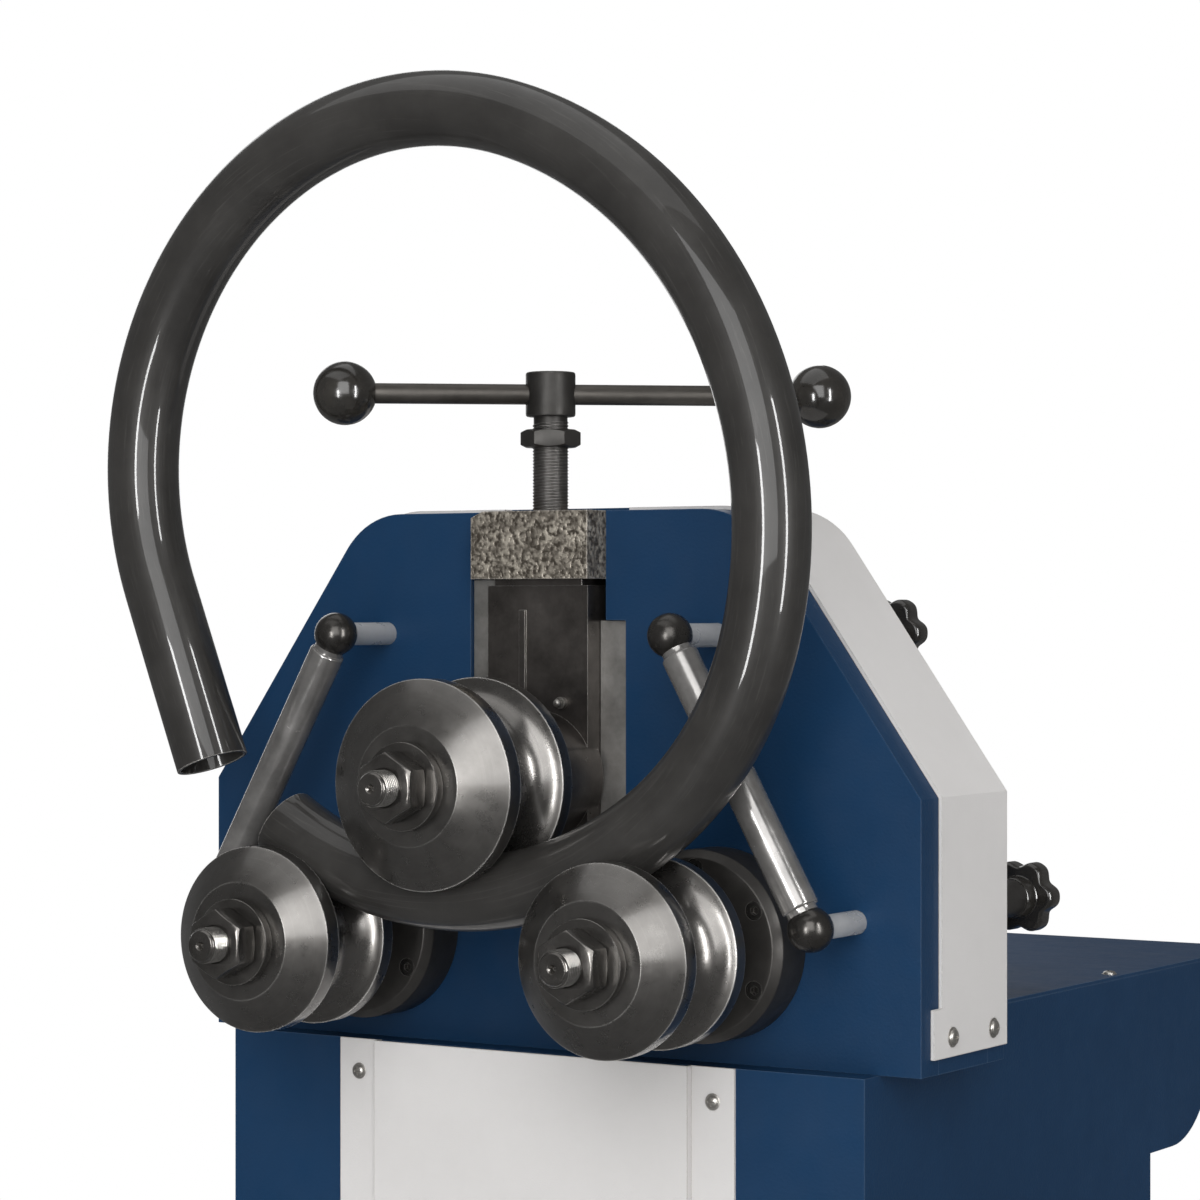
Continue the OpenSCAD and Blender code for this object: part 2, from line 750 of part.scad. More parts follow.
module bush(y0, y1) {
    difference() {
        round_y(y0, y1, bush_d);
        round_y(y0 - 1, y1 + 1, shaft_d + 2 * fit);
    }
}

module lower_bushes() color(bronze) {
    for (side = [-1, 1]) at_lower(side) {
        bush(-housing_lead, plate_t);
        bush(rear_y, head_d);
    }
}

module rear_bearing_caps() color(iron) {
    difference() {
        for (side = [-1, 1]) at_lower(side) difference() {
            round_y(head_d, head_d + rear_cap_t, rear_cap_d);
            round_y(head_d - 1, head_d + rear_cap_t - 4, ring_nut_d + 6);
        }
        cap_screw_ring() round_y(head_d - 1, head_d + rear_cap_t + 1, cap_screw_d);
    }
}

module idler_axle() color(bright_steel) {
    translate([0, 0, idler_z]) {
        round_y(plate_t - axle_seat, head_d, idler_axle_d);
        round_y(head_d, head_d + 8, idler_axle_d + 12);
    }
}

gearbox_floor = housing_floor + base_wall;
output_seat = 60;

module gearbox() color(iron) {
    body_r = (lid_z - 6 - gearbox_floor) / 2;
    difference() {
        union() {
            slab_y(drive_y, drive_y + gearbox_l) {
                translate([-gearbox_w / 2, gearbox_floor]) square([gearbox_w, gearbox_foot_t]);
                translate([-body_r, gearbox_floor]) square([2 * body_r, body_r]);
                translate([0, gearbox_floor + body_r]) circle(r = body_r);
            }
            translate([0, 0, pinion_z]) round_y(drive_y - 6, drive_y + 1, output_boss_d);
        }
        translate([0, 0, pinion_z]) round_y(drive_y - 7, drive_y + output_seat, output_d + 2 * fit);
    }
}

module motor() color(black) {
    y0 = drive_y + gearbox_l;
    core = motor_d - 2 * motor_fin;
    translate([0, 0, gearbox_floor + 2 + motor_d / 2]) {
        slab_y(y0, y0 + motor_l - motor_cowl) {
            circle(d = core);
            for (k = [0 : 23]) rotate(k * 15) translate([core / 2 - 2, -motor_fin_t / 2])
                square([motor_fin + 2, motor_fin_t]);
        }
        round_y(y0 + motor_l - motor_cowl, y0 + motor_l, motor_d);
        translate([core / 2 - 6, y0 + (motor_l - motor_cowl - terminal_box[0]) / 2,
            -terminal_box[1] / 2])
            cube([terminal_box[2], terminal_box[0], terminal_box[1]]);
    }
}

module guide_sleeves() color(bright_steel) {
    both_sides() at_guides() difference() {
        round_y(head_d, sleeve_end, sleeve_d);
        round_y(head_d - 1, sleeve_end + 1, guide_rod_d + 2 * fit);
    }
}

slide_fit = 0.1;
slide_foot = upper_z - slide_below;
upper_bush_l = 48;
slide_rear = head_d + slide_tail;
keeper_screw_x = 29;
keeper_screw_d = 8;
keeper_back = 44;
crown_back = keeper_back + 2;

module slide_block() color(dark_steel) {
    half = slide_w / 2 - slide_fit;
    shoulder_z = nut_block_bottom - slide_shoulder;
    waist_h = 2 * slide_below + 24;
    nose = nose_d / 2;
    rib_foot = upper_z + nose - 8;
    rib_top = nut_block_bottom - slide_gap;
    difference() {
        union() {
            translate([-half, -slide_lead, slide_foot])
                cube([2 * half, slide_lead + slide_rear, shoulder_z - slide_foot]);
            translate([-half, -slide_lead, shoulder_z - 1])
                cube([2 * half, slide_lead + crown_back, slide_top - shoulder_z + 1]);
            translate([-index_rib_x, -slide_lead - index_rib_lead, rib_foot])
                cube([index_rib_w, index_rib_lead + 1, rib_top - rib_foot]);
            translate([-slide_waist_w / 2, plate_t + slack, slide_foot])
                cube([slide_waist_w, rear_y - plate_t - 2 * slack, waist_h]);
            translate([0, 0, upper_z]) turned_y([[0, 0], [nose, 0], [nose, nose_lead - 8],
                [nose - 8, nose_lead], [0, nose_lead]]);
        }
        translate([0, 0, upper_z]) {
            round_y(-nose_lead - 1, upper_bush_l - nose_lead, bush_d);
            round_y(-nose_lead - 1, slide_rear + 1, shaft_d + 6);
            round_y(slide_rear - upper_bush_l, slide_rear + 1, bush_d);
        }
        translate([0, spindle_y, slide_top - spindle_foot])
            cylinder(h = spindle_foot + 1, d = spindle_d + 2 * fit);
        at_keeper_screws() translate([0, 0, -16]) cylinder(h = 17, d = keeper_screw_d);
        translate([nipple_x, -slide_lead, nipple_z]) round_y(-1, 8, 6);
    }
}
nipple_x = slide_w / 4;
nipple_z = upper_z + nose_d / 2 + 6;

module at_keeper_screws() {
    for (x = [-keeper_screw_x, keeper_screw_x], y = [0, keeper_back - 14])
        translate([x, y, slide_top]) children();
}

module keeper_plate() color(dark_steel) {
    half = slide_w / 2 - 6;
    front = 1 - slide_lead;
    difference() {
        translate([-half, front, slide_top]) cube([2 * half, keeper_back - front, keeper_t]);
        translate([0, spindle_y, slide_top - 1]) cylinder(h = keeper_t + 2, d = neck_d + 2 * fit);
        translate([-neck_d / 2 - fit, spindle_y, slide_top - 1])
            cube([neck_d + 2 * fit, keeper_back, keeper_t + 2]);
        at_keeper_screws() translate([0, 0, -1]) cylinder(h = keeper_t + 2, d = keeper_screw_d);
    }
}

module keeper_screws() color(dark_steel) {
    at_keeper_screws() {
        translate([0, 0, keeper_t]) cylinder(h = 3, d = keeper_screw_d + 5);
        translate([0, 0, -14]) cylinder(h = 15 + keeper_t, d = keeper_screw_d);
    }
}

module upper_bushes() color(bronze) {
    translate([0, 0, upper_z]) {
        bush(-nose_lead, upper_bush_l - nose_lead);
        bush(slide_rear - upper_bush_l, slide_rear);
    }
}

module grease_nipple() color(bright_steel) {
    translate([nipple_x, -slide_lead, nipple_z]) {
        round_y(-4, 6, 6);
        round_y(-4, 0, 9);
        translate([0, -7, 0]) sphere(d = 7);
    }
}

stub_end = hub_front + washer_t + roll_nut_t + stub_out;
ring_thread_d = shaft_d - 6;

// A roll shaft round the origin's Y axis; its collar ends where the bearing begins.
module roll_shaft(bearing_lead, rear_end) {
    thread_end = rear_end + ring_nut_t + 2;
    turned_y([[0, -thread_end], [ring_thread_d / 2, -thread_end], [ring_thread_d / 2, -rear_end],
        [shaft_d / 2, -rear_end], [shaft_d / 2, bearing_lead + slack],
        [shaft_collar_d / 2, bearing_lead + slack], [shaft_collar_d / 2, roll_rear],
        [shaft_d / 2, roll_rear], [shaft_d / 2, hub_front - 2], [stub_d / 2, hub_front - 2],
        [stub_d / 2, stub_end - 2], [stub_d / 2 - 2, stub_end], [0, stub_end]]);
}

module roll(d, root) {
    r = d / 2;
    groove_r = tube_d / 2 + slack;
    rotate([90, 0, 0]) rotate_extrude($fn = 128) difference() {
        polygon([[shaft_d / 2, roll_rear], [r - rim_chamfer, roll_rear],
            [r, roll_rear + rim_chamfer], [r, roll_front], [roll_hub_d / 2, hub_front],
            [shaft_d / 2, hub_front]]);
        translate([root + tube_d / 2, groove_lead]) circle(r = groove_r, $fn = 96);
    }
}

// The washer and nut that hold a roll, and the ring nut at the shaft's other end.
module roll_nuts(rear_end) {
    difference() {
        round_y(-hub_front - washer_t, -hub_front, washer_d);
        round_y(-hub_front - washer_t - 1, 1 - hub_front, stub_d);
    }
    nut_y(-hub_front - washer_t - roll_nut_t, -hub_front - washer_t, roll_nut_af, stub_d);
    difference() {
        round_y(rear_end + slack, rear_end + slack + ring_nut_t, ring_nut_d);
        round_y(rear_end - 1, rear_end + ring_nut_t + 2, ring_thread_d);
    }
}

module at_upper() {
    translate([0, 0, upper_z]) children();
}

module upper_shaft() color(dark_steel) at_upper() roll_shaft(nose_lead, slide_rear);
module upper_roll() color(dark_steel) at_upper() roll(upper_roll_d, upper_touch);
module upper_roll_nuts() color(dark_steel) at_upper() roll_nuts(slide_rear);

module lower_left_shaft() color(dark_steel) at_lower(-1) roll_shaft(housing_lead, head_d);
module lower_left_roll() color(dark_steel) at_lower(-1) roll(lower_roll_d, lower_touch);
module lower_left_nuts() color(dark_steel) at_lower(-1) roll_nuts(head_d);
module lower_right_shaft() color(dark_steel) at_lower(1) roll_shaft(housing_lead, head_d);
module lower_right_roll() color(dark_steel) at_lower(1) roll(lower_roll_d, lower_touch);
module lower_right_nuts() color(dark_steel) at_lower(1) roll_nuts(head_d);

// Involute spur gears. Angles are in degrees and radii in millimetres.
pressure = 20;
function involute(a) = tan(a) * 180 / PI - a;
function tooth_half(z, rho) =
    let (r = gear_module * z / 2, base = r * cos(pressure),
        a = rho > base ? acos(base / rho) : 0)
    90 / z - backlash / 4 / r * 180 / PI + involute(pressure) - involute(a);
function flank(z) =
    let (r = gear_module * z / 2, root = r - 1.25 * gear_module, tip = r + gear_module,
        low = max(root + 0.2, r * cos(pressure)))
    [root, for (k = [0 : 4]) low + (tip - low) * k / 4];
function polar(rho, a) = [rho * cos(a), rho * sin(a)];
function gear_points(z, phase) = [for (i = [0 : z - 1]) let (a = phase + i * 360 / z) each
    [for (rho = flank(z)) polar(rho, a - tooth_half(z, rho)),
    for (k = [5 : -1 : 0]) let (rho = flank(z)[k]) polar(rho, a + tooth_half(z, rho))]];
// Phase of a gear that meshes with a driver whose tooth stands at driver_phase.
function mesh_phase(line, driver_phase, z_driver, z) =
    line + 180 - (driver_phase - line) * z_driver / z + 180 / z;
idler_phase = line_angle;

module spur_gear(z, phase, bore, hub_d, rim_in) {
    gear_end = gear_y + gear_face;
    recess = gear_face / 4;
    difference() {
        slab_y(gear_y, gear_end) polygon(gear_points(z, phase));
        for (y = [gear_y - 1, gear_end - recess]) difference() {
            round_y(y, y + recess + 1, 2 * rim_in);
            round_y(y - 1, y + recess + 2, hub_d);
        }
        for (k = [0 : 5]) rotate([0, k * 60, 0]) translate([(rim_in + hub_d / 2) / 2, 0, 0])
            round_y(gear_y, gear_end, (rim_in - hub_d / 2) * 0.66);
        round_y(gear_y - 1, gear_end + 1, bore);
    }
}

roll_gear_rim = gear_module * roll_teeth / 2 - 2.5 * gear_module;
idler_rim = gear_module * idler_teeth / 2 - 2.5 * gear_module;

module lower_left_gear() color(bright_steel) at_lower(-1)
    spur_gear(roll_teeth, mesh_phase(180 - line_angle, idler_phase, idler_teeth, roll_teeth),
        shaft_d, shaft_d + 26, roll_gear_rim);

module lower_right_gear() color(bright_steel) at_lower(1)
    spur_gear(roll_teeth, mesh_phase(line_angle, idler_phase, idler_teeth, roll_teeth),
        shaft_d, shaft_d + 26, roll_gear_rim);

module idler_gear() color(bright_steel) translate([0, 0, idler_z]) {
    spur_gear(idler_teeth, idler_phase, idler_axle_d + 2 * fit, idler_axle_d + 28, idler_rim);
    for (span = [[plate_t + slack, gear_y], [gear_y + gear_face, rear_y - slack]]) difference() {
        round_y(span[0], span[1], idler_axle_d + 24);
        round_y(span[0] - 1, span[1] + 1, idler_axle_d + 2 * fit);
    }
}

module drive_pinion() color(bright_steel) translate([0, 0, pinion_z]) {
    slab_y(gear_y, gear_y + gear_face)
        polygon(gear_points(pinion_teeth, mesh_phase(-90, idler_phase, idler_teeth, pinion_teeth)));
    round_y(gear_y - 8, drive_y + output_seat - 2, output_d);
}

module spindle() color(dark_steel) translate([0, spindle_y, 0]) {
    foot = slide_top - spindle_foot + fit;
    neck = [slide_top - fit, slide_top + keeper_t + fit];
    hub_z = head_top + hub_rise;
    rotate_extrude() polygon([[0, foot], [spindle_d / 2 - 1, foot], [spindle_d / 2, foot + 1],
        [spindle_d / 2, neck[0]], [neck_d / 2, neck[0]], [neck_d / 2, neck[1]],
        [spindle_d / 2, neck[1]], [spindle_d / 2, hub_z], [hub_seat_d / 2, hub_z],
        [hub_seat_d / 2, hub_z + hub_seat], [0, hub_z + hub_seat]]);
}
hub_seat_d = 20;
hub_seat = 7;

module at_bar() {
    translate([0, spindle_y, bar_z]) rotate([0, 0, bar_angle]) children();
}

// A cylinder along the bar between two distances from the spindle.
module bar_round(x0, x1, d) {
    translate([x0, 0, 0]) rotate([0, 90, 0]) cylinder(h = x1 - x0, d = d);
}

module handle_hub() color(dark_steel) {
    hub_z = head_top + hub_rise;
    difference() {
        translate([0, spindle_y, hub_z]) rotate_extrude() polygon([[0, 0], [hub_d / 2 - 2, 0],
            [hub_d / 2, 2], [hub_d / 2, hub_h - 2], [hub_d / 2 - 2, hub_h], [0, hub_h]]);
        translate([0, spindle_y, hub_z - 1]) cylinder(h = hub_seat + 1, d = hub_seat_d);
        at_bar() bar_round(-hub_d, hub_d, bar_d + 2 * fit);
    }
}

bar_in_ball = 12;
bar_span = [ball_d / 2 - bar_in_ball - bar_left, bar_right - ball_d / 2 + bar_in_ball];

module tee_bar() color(bright_steel) at_bar() bar_round(bar_span[0], bar_span[1], bar_d);

// A turned ball knob, flattened and bored on its inner side to take the bar's end.
module ball_knob() {
    flat = 2;
    rotate([0, 90, 0]) rotate_extrude($fn = 96) difference() {
        circle(d = ball_d, $fn = 96);
        translate([-ball_d, -ball_d]) square([ball_d, 2 * ball_d]);
        translate([-1, ball_d / 2 - flat]) square([ball_d, ball_d]);
        translate([-1, ball_d / 2 - bar_in_ball - fit]) square([1 + (bar_d + fit) / 2, ball_d]);
    }
}

module ball_knob_left() color(black) at_bar() translate([-bar_left, 0, 0]) ball_knob();
module ball_knob_right() color(black) at_bar() translate([bar_right, 0, 0])
    rotate([0, 0, 180]) ball_knob();

module lock_nut() color(dark_steel) translate([0, spindle_y, head_top + lock_nut_rise])
    difference() {
        cylinder(h = lock_nut_t, d = lock_nut_af / cos(30), $fn = 6);
        translate([0, 0, -1]) cylinder(h = lock_nut_t + 2, d = spindle_d + 2 * fit);
    }

guide_run = [guide_foot_x - guide_top_x, guide_foot_z - guide_top_z];
rod_seat = 8;

module guide_bar() {
    difference() {
        union() {
            translate([guide_top_x, -guide_lead, shelf_h + guide_top_z])
                rotate([0, atan2(guide_run[0], guide_run[1]), 0])
                    cylinder(h = norm(guide_run), d = guide_bar_d);
            at_guides() translate([0, -guide_lead, 0]) sphere(d = knuckle_d);
        }
        at_guides() round_y(-guide_lead - rod_seat, 0, guide_rod_d);
    }
}

module guide_rods() {
    at_guides() round_y(-guide_lead - rod_seat, rod_end, guide_rod_d);
}
rod_end = sleeve_end + slack + star_hub_t + star_t - 5;

module guide_bar_right() color(dark_steel) guide_bar();
module guide_bar_left() color(dark_steel) mirror([1, 0, 0]) guide_bar();
module guide_rods_right() color(bright_steel) guide_rods();
module guide_rods_left() color(bright_steel) mirror([1, 0, 0]) guide_rods();

module star_knob(side, place) {
    hub_end = sleeve_end + slack + star_hub_t;
    lobe_d = star_d * 0.28;
    translate([side * place[0], 0, shelf_h + place[1]]) difference() {
        union() {
            round_y(sleeve_end + slack, hub_end + 1, star_d * 0.56);
            slab_y(hub_end, hub_end + star_t) {
                circle(d = star_d - lobe_d);
                for (k = [0 : 5]) rotate(k * 60) translate([(star_d - lobe_d) / 2, 0])
                    circle(d = lobe_d, $fn = 32);
            }
        }
        round_y(sleeve_end, rod_end + fit, guide_rod_d + 2 * fit);
    }
}

module star_knob_upper_left() color(black) star_knob(-1, guide_places[0]);
module star_knob_lower_left() color(black) star_knob(-1, guide_places[1]);
module star_knob_upper_right() color(black) star_knob(1, guide_places[0]);
module star_knob_lower_right() color(black) star_knob(1, guide_places[1]);

module tube_ring_section() {
    difference() {
        circle(d = tube_d, $fn = 96);
        circle(d = tube_d - 2 * tube_wall, $fn = 96);
    }
}

// Where arc k of the ring starts: its place in the ring's plane and its heading.
function arc_centre(from, r) = [from[0], from[1]] + r * [-sin(from[2]), cos(from[2])];
function arc_end(from, turn, r) =
    let (c = arc_centre(from, r), h = from[2] + turn)
    [c[0] + r * sin(h), c[1] - r * cos(h), h];
function arc_start(k) = k == 0 ? concat(polar(ring_r, ring_leave_angle - 90), [ring_leave_angle])
    : arc_end(arc_start(k - 1), ring_arcs[k - 1][0], ring_arcs[k - 1][1]);

// A bent stretch of tube round the origin, between two angles.
module tube_arc(r, first, turn) {
    intersection() {
        rotate_extrude($fn = 128) translate([r, 0]) tube_ring_section();
        translate([0, 0, -tube_d]) linear_extrude(height = 2 * tube_d)
            polygon([[0, 0], for (k = [0 : 4]) polar(2 * r, first + turn * k / 4)]);
    }
}

module bent_tube() color(dark_steel) translate([0, groove_y, ring_z]) rotate([90, 0, 0]) {
    tube_arc(ring_r, 270 - ring_tail_angle, ring_tail_angle + ring_leave_angle);
    for (k = [0 : len(ring_arcs) - 1]) let (from = arc_start(k), r = ring_arcs[k][1])
        translate(arc_centre(from, r)) tube_arc(r, from[2] - 90, ring_arcs[k][0]);
    last = arc_start(len(ring_arcs));
    translate([last[0], last[1], 0]) rotate([0, 0, last[2] - 90]) rotate([-90, 0, 0])
        linear_extrude(height = free_end) tube_ring_section();
}

base_cabinet();
base_front_panel();
panel_screws();
rear_lid();
lid_screws();
head_front_plate();
head_rear_plate();
head_tie_bars();
head_foot_bars();
head_bolts();
side_cover_right();
side_cover_left();
cover_screws();
top_bridge();
nut_block();
spindle_nut();
gibs_left();
gibs_right();
bearing_housing_left();
bearing_housing_right();
housing_screws();
lower_bushes();
rear_bearing_caps();
idler_axle();
gearbox();
motor();
guide_sleeves();
slide_block();
keeper_plate();
keeper_screws();
upper_bushes();
grease_nipple();
upper_shaft();
upper_roll();
upper_roll_nuts();
lower_left_shaft();
lower_left_roll();
lower_left_nuts();
lower_left_gear();
lower_right_shaft();
lower_right_roll();
lower_right_nuts();
lower_right_gear();
idler_gear();
drive_pinion();
spindle();
handle_hub();
tee_bar();
ball_knob_left();
ball_knob_right();
lock_nut();
guide_bar_left();
guide_rods_left();
guide_bar_right();
guide_rods_right();
star_knob_upper_left();
star_knob_lower_left();
star_knob_upper_right();
star_knob_lower_right();
bent_tube();
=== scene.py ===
# A floor-standing three-roll bender, dressed round its packed construction: a plate head with a
# hand screw, three grooved rolls, two guide bars, a sheet-steel base and a bent tube in the rolls.
import math
import bpy
from mathutils import Matrix, Vector


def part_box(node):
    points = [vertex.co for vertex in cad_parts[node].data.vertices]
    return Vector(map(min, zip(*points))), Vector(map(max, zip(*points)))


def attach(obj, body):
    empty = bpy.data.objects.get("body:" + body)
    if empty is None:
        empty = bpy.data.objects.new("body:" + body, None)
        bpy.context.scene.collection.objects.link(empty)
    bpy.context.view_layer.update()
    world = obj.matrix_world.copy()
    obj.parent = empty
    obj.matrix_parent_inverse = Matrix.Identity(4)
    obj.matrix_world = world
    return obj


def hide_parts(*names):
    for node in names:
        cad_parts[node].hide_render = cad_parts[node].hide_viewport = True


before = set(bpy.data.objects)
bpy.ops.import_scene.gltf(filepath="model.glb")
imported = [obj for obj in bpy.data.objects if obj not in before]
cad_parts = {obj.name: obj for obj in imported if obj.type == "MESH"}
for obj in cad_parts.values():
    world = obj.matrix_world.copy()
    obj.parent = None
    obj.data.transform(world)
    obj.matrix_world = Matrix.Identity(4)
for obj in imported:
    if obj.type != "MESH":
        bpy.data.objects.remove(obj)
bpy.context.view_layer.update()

bpy.ops.object.select_all(action="DESELECT")

# Camera: level with the head, a long lens, 33 degrees round to the machine's right.
# The slight shift frames the head and the ring of tube as the photograph does.
scene = bpy.context.scene
scene.view_settings.view_transform = "Standard"
camera_place = (1.4922, -2.298, 1.123)
camera_turn = math.radians(33)
bpy.ops.object.camera_add(location=camera_place, rotation=(math.pi / 2, 0, camera_turn))
camera = bpy.context.object
camera.name = "camera"
camera.data.lens = 105.2
camera.data.sensor_width = 36
camera.data.shift_x = 0.0442
camera.data.shift_y = 0.0083
scene.camera = camera


# Studio: a white surround, a pale floor that fades into it, and plain soft lamps. A window whose
# foot is level with the rolls lights their cones, and two upright strips draw lines on the tube.
def put(tree, kind, feeds=(), **settings):
    """Adds a shader node. feeds are its inputs, each a value or another node's output."""
    node = tree.nodes.new("ShaderNode" + kind)
    for key, value in settings.items():
        setattr(node, key, value)
    for key, value in dict(feeds).items():
        if isinstance(value, bpy.types.NodeSocket):
            tree.links.new(value, node.inputs[key])
        else:
            node.inputs[key].default_value = value
    return node.outputs


def by_ray(tree, lit, mirrored, seen):
    """One value where light falls on a piece, another in reflections, a third for the camera."""
    path = put(tree, "LightPath")
    reflected = put(tree, "Mix", {0: path["Is Glossy Ray"], 2: lit, 3: mirrored})[0]
    return put(tree, "Mix", {0: path["Is Camera Ray"], 2: reflected, 3: seen})[0]


def lamp(name, place, aim, width, height, power):
    """A soft rectangular lamp that looks at a point."""
    turn = (Vector(aim) - Vector(place)).to_track_quat("-Z", "Y").to_euler()
    bpy.ops.object.light_add(type="AREA", location=place, rotation=turn)
    light = bpy.context.object
    light.name = name
    light.data.shape = "RECTANGLE"
    light.data.size = width
    light.data.size_y = height
    light.data.energy = power
    return light


surround_light, surround_mirrored = 0.54, 0.14
world = bpy.data.worlds.new("studio")
world.use_nodes = True
scene.world = world
level = by_ray(world.node_tree, surround_light, surround_mirrored, 1.0)
surround = world.node_tree.nodes["Background"]
surround.inputs["Color"].default_value = (1, 1, 1, 1)
world.node_tree.links.new(level, surround.inputs["Strength"])

lamp("window", (1.64, -3.13, 2.50), (0, -0.15, 2.50), 2.65, 3.10, 96)
front_strip = lamp("front_strip", (0.59, -3.50, 1.00), (0, -0.15, 1.00), 0.36, 1.50, 52)
side_strip = lamp("side_strip", (2.45, -0.78, 1.45), (0, 0, 1.45), 0.24, 1.80, 42)
for strip in (front_strip, side_strip):
    strip.visible_diffuse = False
lamp("overhead_lamp", (-0.3, -0.4, 3.6), (0, 0.2, 0.8), 3.0, 3.0, 24)
lamp("rear_lamp", (-2.2, 2.4, 1.9), (0, 0.3, 0.8), 2.2, 2.2, 22)

floor_half = 3.2
floor_fade = (1.3, 2.9)
bpy.ops.mesh.primitive_grid_add(x_subdivisions=8, y_subdivisions=8, size=2 * floor_half)
floor = bpy.context.object
floor.name = "floor"
floor_finish = bpy.data.materials.new("pale_floor")
floor_finish.use_nodes = True
tree = floor_finish.node_tree
shader = tree.nodes["Principled BSDF"]
tree.links.new(by_ray(tree, 0.88, 0.16, 0.88), shader.inputs["Base Color"])
shader.inputs["Roughness"].default_value = 0.85
shader.inputs["Specular IOR Level"].default_value = 0.1
away = put(tree, "VectorMath", {0: put(tree, "TexCoord")["Object"]}, operation="LENGTH")["Value"]
fade = put(tree, "MapRange", {0: away, 1: floor_fade[0], 2: floor_fade[1]},
           interpolation_type="SMOOTHSTEP")[0]
faded = put(tree, "Math", {0: fade, 1: by_ray(tree, 0.0, 0.0, 1.0)}, operation="MULTIPLY")[0]
white = put(tree, "Emission", {"Color": (1, 1, 1, 1), "Strength": 1.0})[0]
floor_surface = put(tree, "MixShader", {0: faded, 1: shader.outputs[0], 2: white})[0]
tree.links.new(floor_surface, tree.nodes["Material Output"].inputs["Surface"])
floor.data.materials.append(floor_finish)


# Base: a welded box of 4 mm sheet with a raised housing for the drive behind the head and a flat
# foot plate. It is brushed and sprayed in deep blue machine enamel, rubbed thin along its edges.
def effect(name, needs, gives):
    """An empty shader group with its named inputs, their first values, and its outputs."""
    tree = bpy.data.node_groups.new(name, "ShaderNodeTree")
    for label, value in needs.items():
        kind = "NodeSocketVector" if isinstance(value, tuple) else "NodeSocketFloat"
        socket = tree.interface.new_socket(label, in_out="INPUT", socket_type=kind)
        socket.default_value = value
    for label in gives:
        tree.interface.new_socket(label, in_out="OUTPUT", socket_type="NodeSocketFloat")
    asked = tree.nodes.new("NodeGroupInput").outputs
    return tree, asked, tree.nodes.new("NodeGroupOutput").inputs


def grain(tree, where, scale, detail=4, roughness=0.6):
    """Soft noise over a piece, about 0 to 1."""
    return put(tree, "TexNoise", {"Vector": where, "Scale": scale, "Detail": detail,
                                  "Roughness": roughness})["Fac"]


def ramp(tree, value, low, high, to_low=0.0, to_high=1.0):
    """value's range low to high, brought to another range and clamped."""
    return put(tree, "MapRange", {0: value, 1: low, 2: high, 3: to_low, 4: to_high})[0]


def maths(tree, operation, first, second=0.0):
    """One sum, product or the like of two values."""
    return put(tree, "Math", {0: first, 1: second}, operation=operation)[0]


# Edge wear: where a rounded look at the surface turns away from the true one there is an edge.
edge_wear, asked, given = effect(
    "edge_wear", {"Place": (0, 0, 0), "Width": 0.002, "Breakup": 60.0, "Reach": 0.4}, ["Mask"])
rounded = put(edge_wear, "Bevel", {"Radius": asked["Width"]}, samples=4)[0]
flat = put(edge_wear, "NewGeometry")["Normal"]
facing = put(edge_wear, "VectorMath", {0: rounded, 1: flat}, operation="DOT_PRODUCT")["Value"]
edge = ramp(edge_wear, facing, 0.995, 0.86)
broken = grain(edge_wear, asked["Place"], asked["Breakup"], 8, 0.7)
worn = maths(edge_wear, "ADD", maths(edge_wear, "ADD", edge, broken), asked["Reach"])
edge_wear.links.new(maths(edge_wear, "MULTIPLY", edge, ramp(edge_wear, worn, 1.5, 1.62)), given[0])


def edges_rubbed(tree, where, breakup, reach, width):
    """How far the finish is rubbed off along a piece's edges, 0 to 1."""
    return put(tree, "Group", {"Place": where, "Breakup": breakup, "Reach": reach, "Width": width},
               node_tree=edge_wear)[0]


# Settled dust: on what faces up, in loose patches.
settled_dust, asked, given = effect(
    "settled_dust", {"Place": (0, 0, 0), "Amount": 0.5}, ["Mask"])
upright = put(settled_dust, "SeparateXYZ", {0: put(settled_dust, "NewGeometry")["Normal"]})["Z"]
lying = ramp(settled_dust, upright, 0.55, 0.98)
drift = ramp(settled_dust, grain(settled_dust, asked["Place"], 9, 6), 0.35, 0.72)
patches = maths(settled_dust, "MULTIPLY", lying, drift)
dusty = maths(settled_dust, "MULTIPLY", patches, asked["Amount"])
settled_dust.links.new(dusty, given[0])

# Soft patches: where noise rises from Start to Full, a value goes from Low to High.
soft_patches, asked, given = effect(
    "soft_patches", {"Place": (0, 0, 0), "Scale": 20.0, "Detail": 5.0, "Ragged": 0.6,
                     "Start": 0.3, "Full": 0.7, "Low": 0.0, "High": 1.0}, ["Value"])
noise = grain(soft_patches, asked["Place"], asked["Scale"], asked["Detail"], asked["Ragged"])
level = ramp(soft_patches, noise, asked["Start"], asked["Full"], asked["Low"], asked["High"])
soft_patches.links.new(level, given[0])


def patchy(tree, where, scale, detail, start, full, low=0.0, high=1.0, ragged=0.6):
    """A value that goes from low to high in soft patches over a piece."""
    return put(tree, "Group", {"Place": where, "Scale": scale, "Detail": detail, "Ragged": ragged,
                               "Start": start, "Full": full, "Low": low, "High": high},
               node_tree=soft_patches)[0]


def finish(name, rough, metal=0.0, gloss=0.5):
    """A new material with its plain shader values, and the piece's own coordinates."""
    material = bpy.data.materials.new(name)
    material.use_nodes = True
    tree = material.node_tree
    shader = tree.nodes["Principled BSDF"]
    shader.inputs["Roughness"].default_value = rough
    shader.inputs["Metallic"].default_value = metal
    shader.inputs["Specular IOR Level"].default_value = gloss
    return material, tree, shader.inputs, put(tree, "TexCoord")["Object"]


def tint(tree, share, below, above):
    """A colour between two others."""
    return put(tree, "Mix", {0: share, 6: (*below, 1), 7: (*above, 1)}, data_type="RGBA")[2]


def cover_colour(tree, share, below, above):
    """A colour node's output with another colour laid over it."""
    return put(tree, "Mix", {0: share, 6: below, 7: (*above, 1)}, data_type="RGBA")[2]


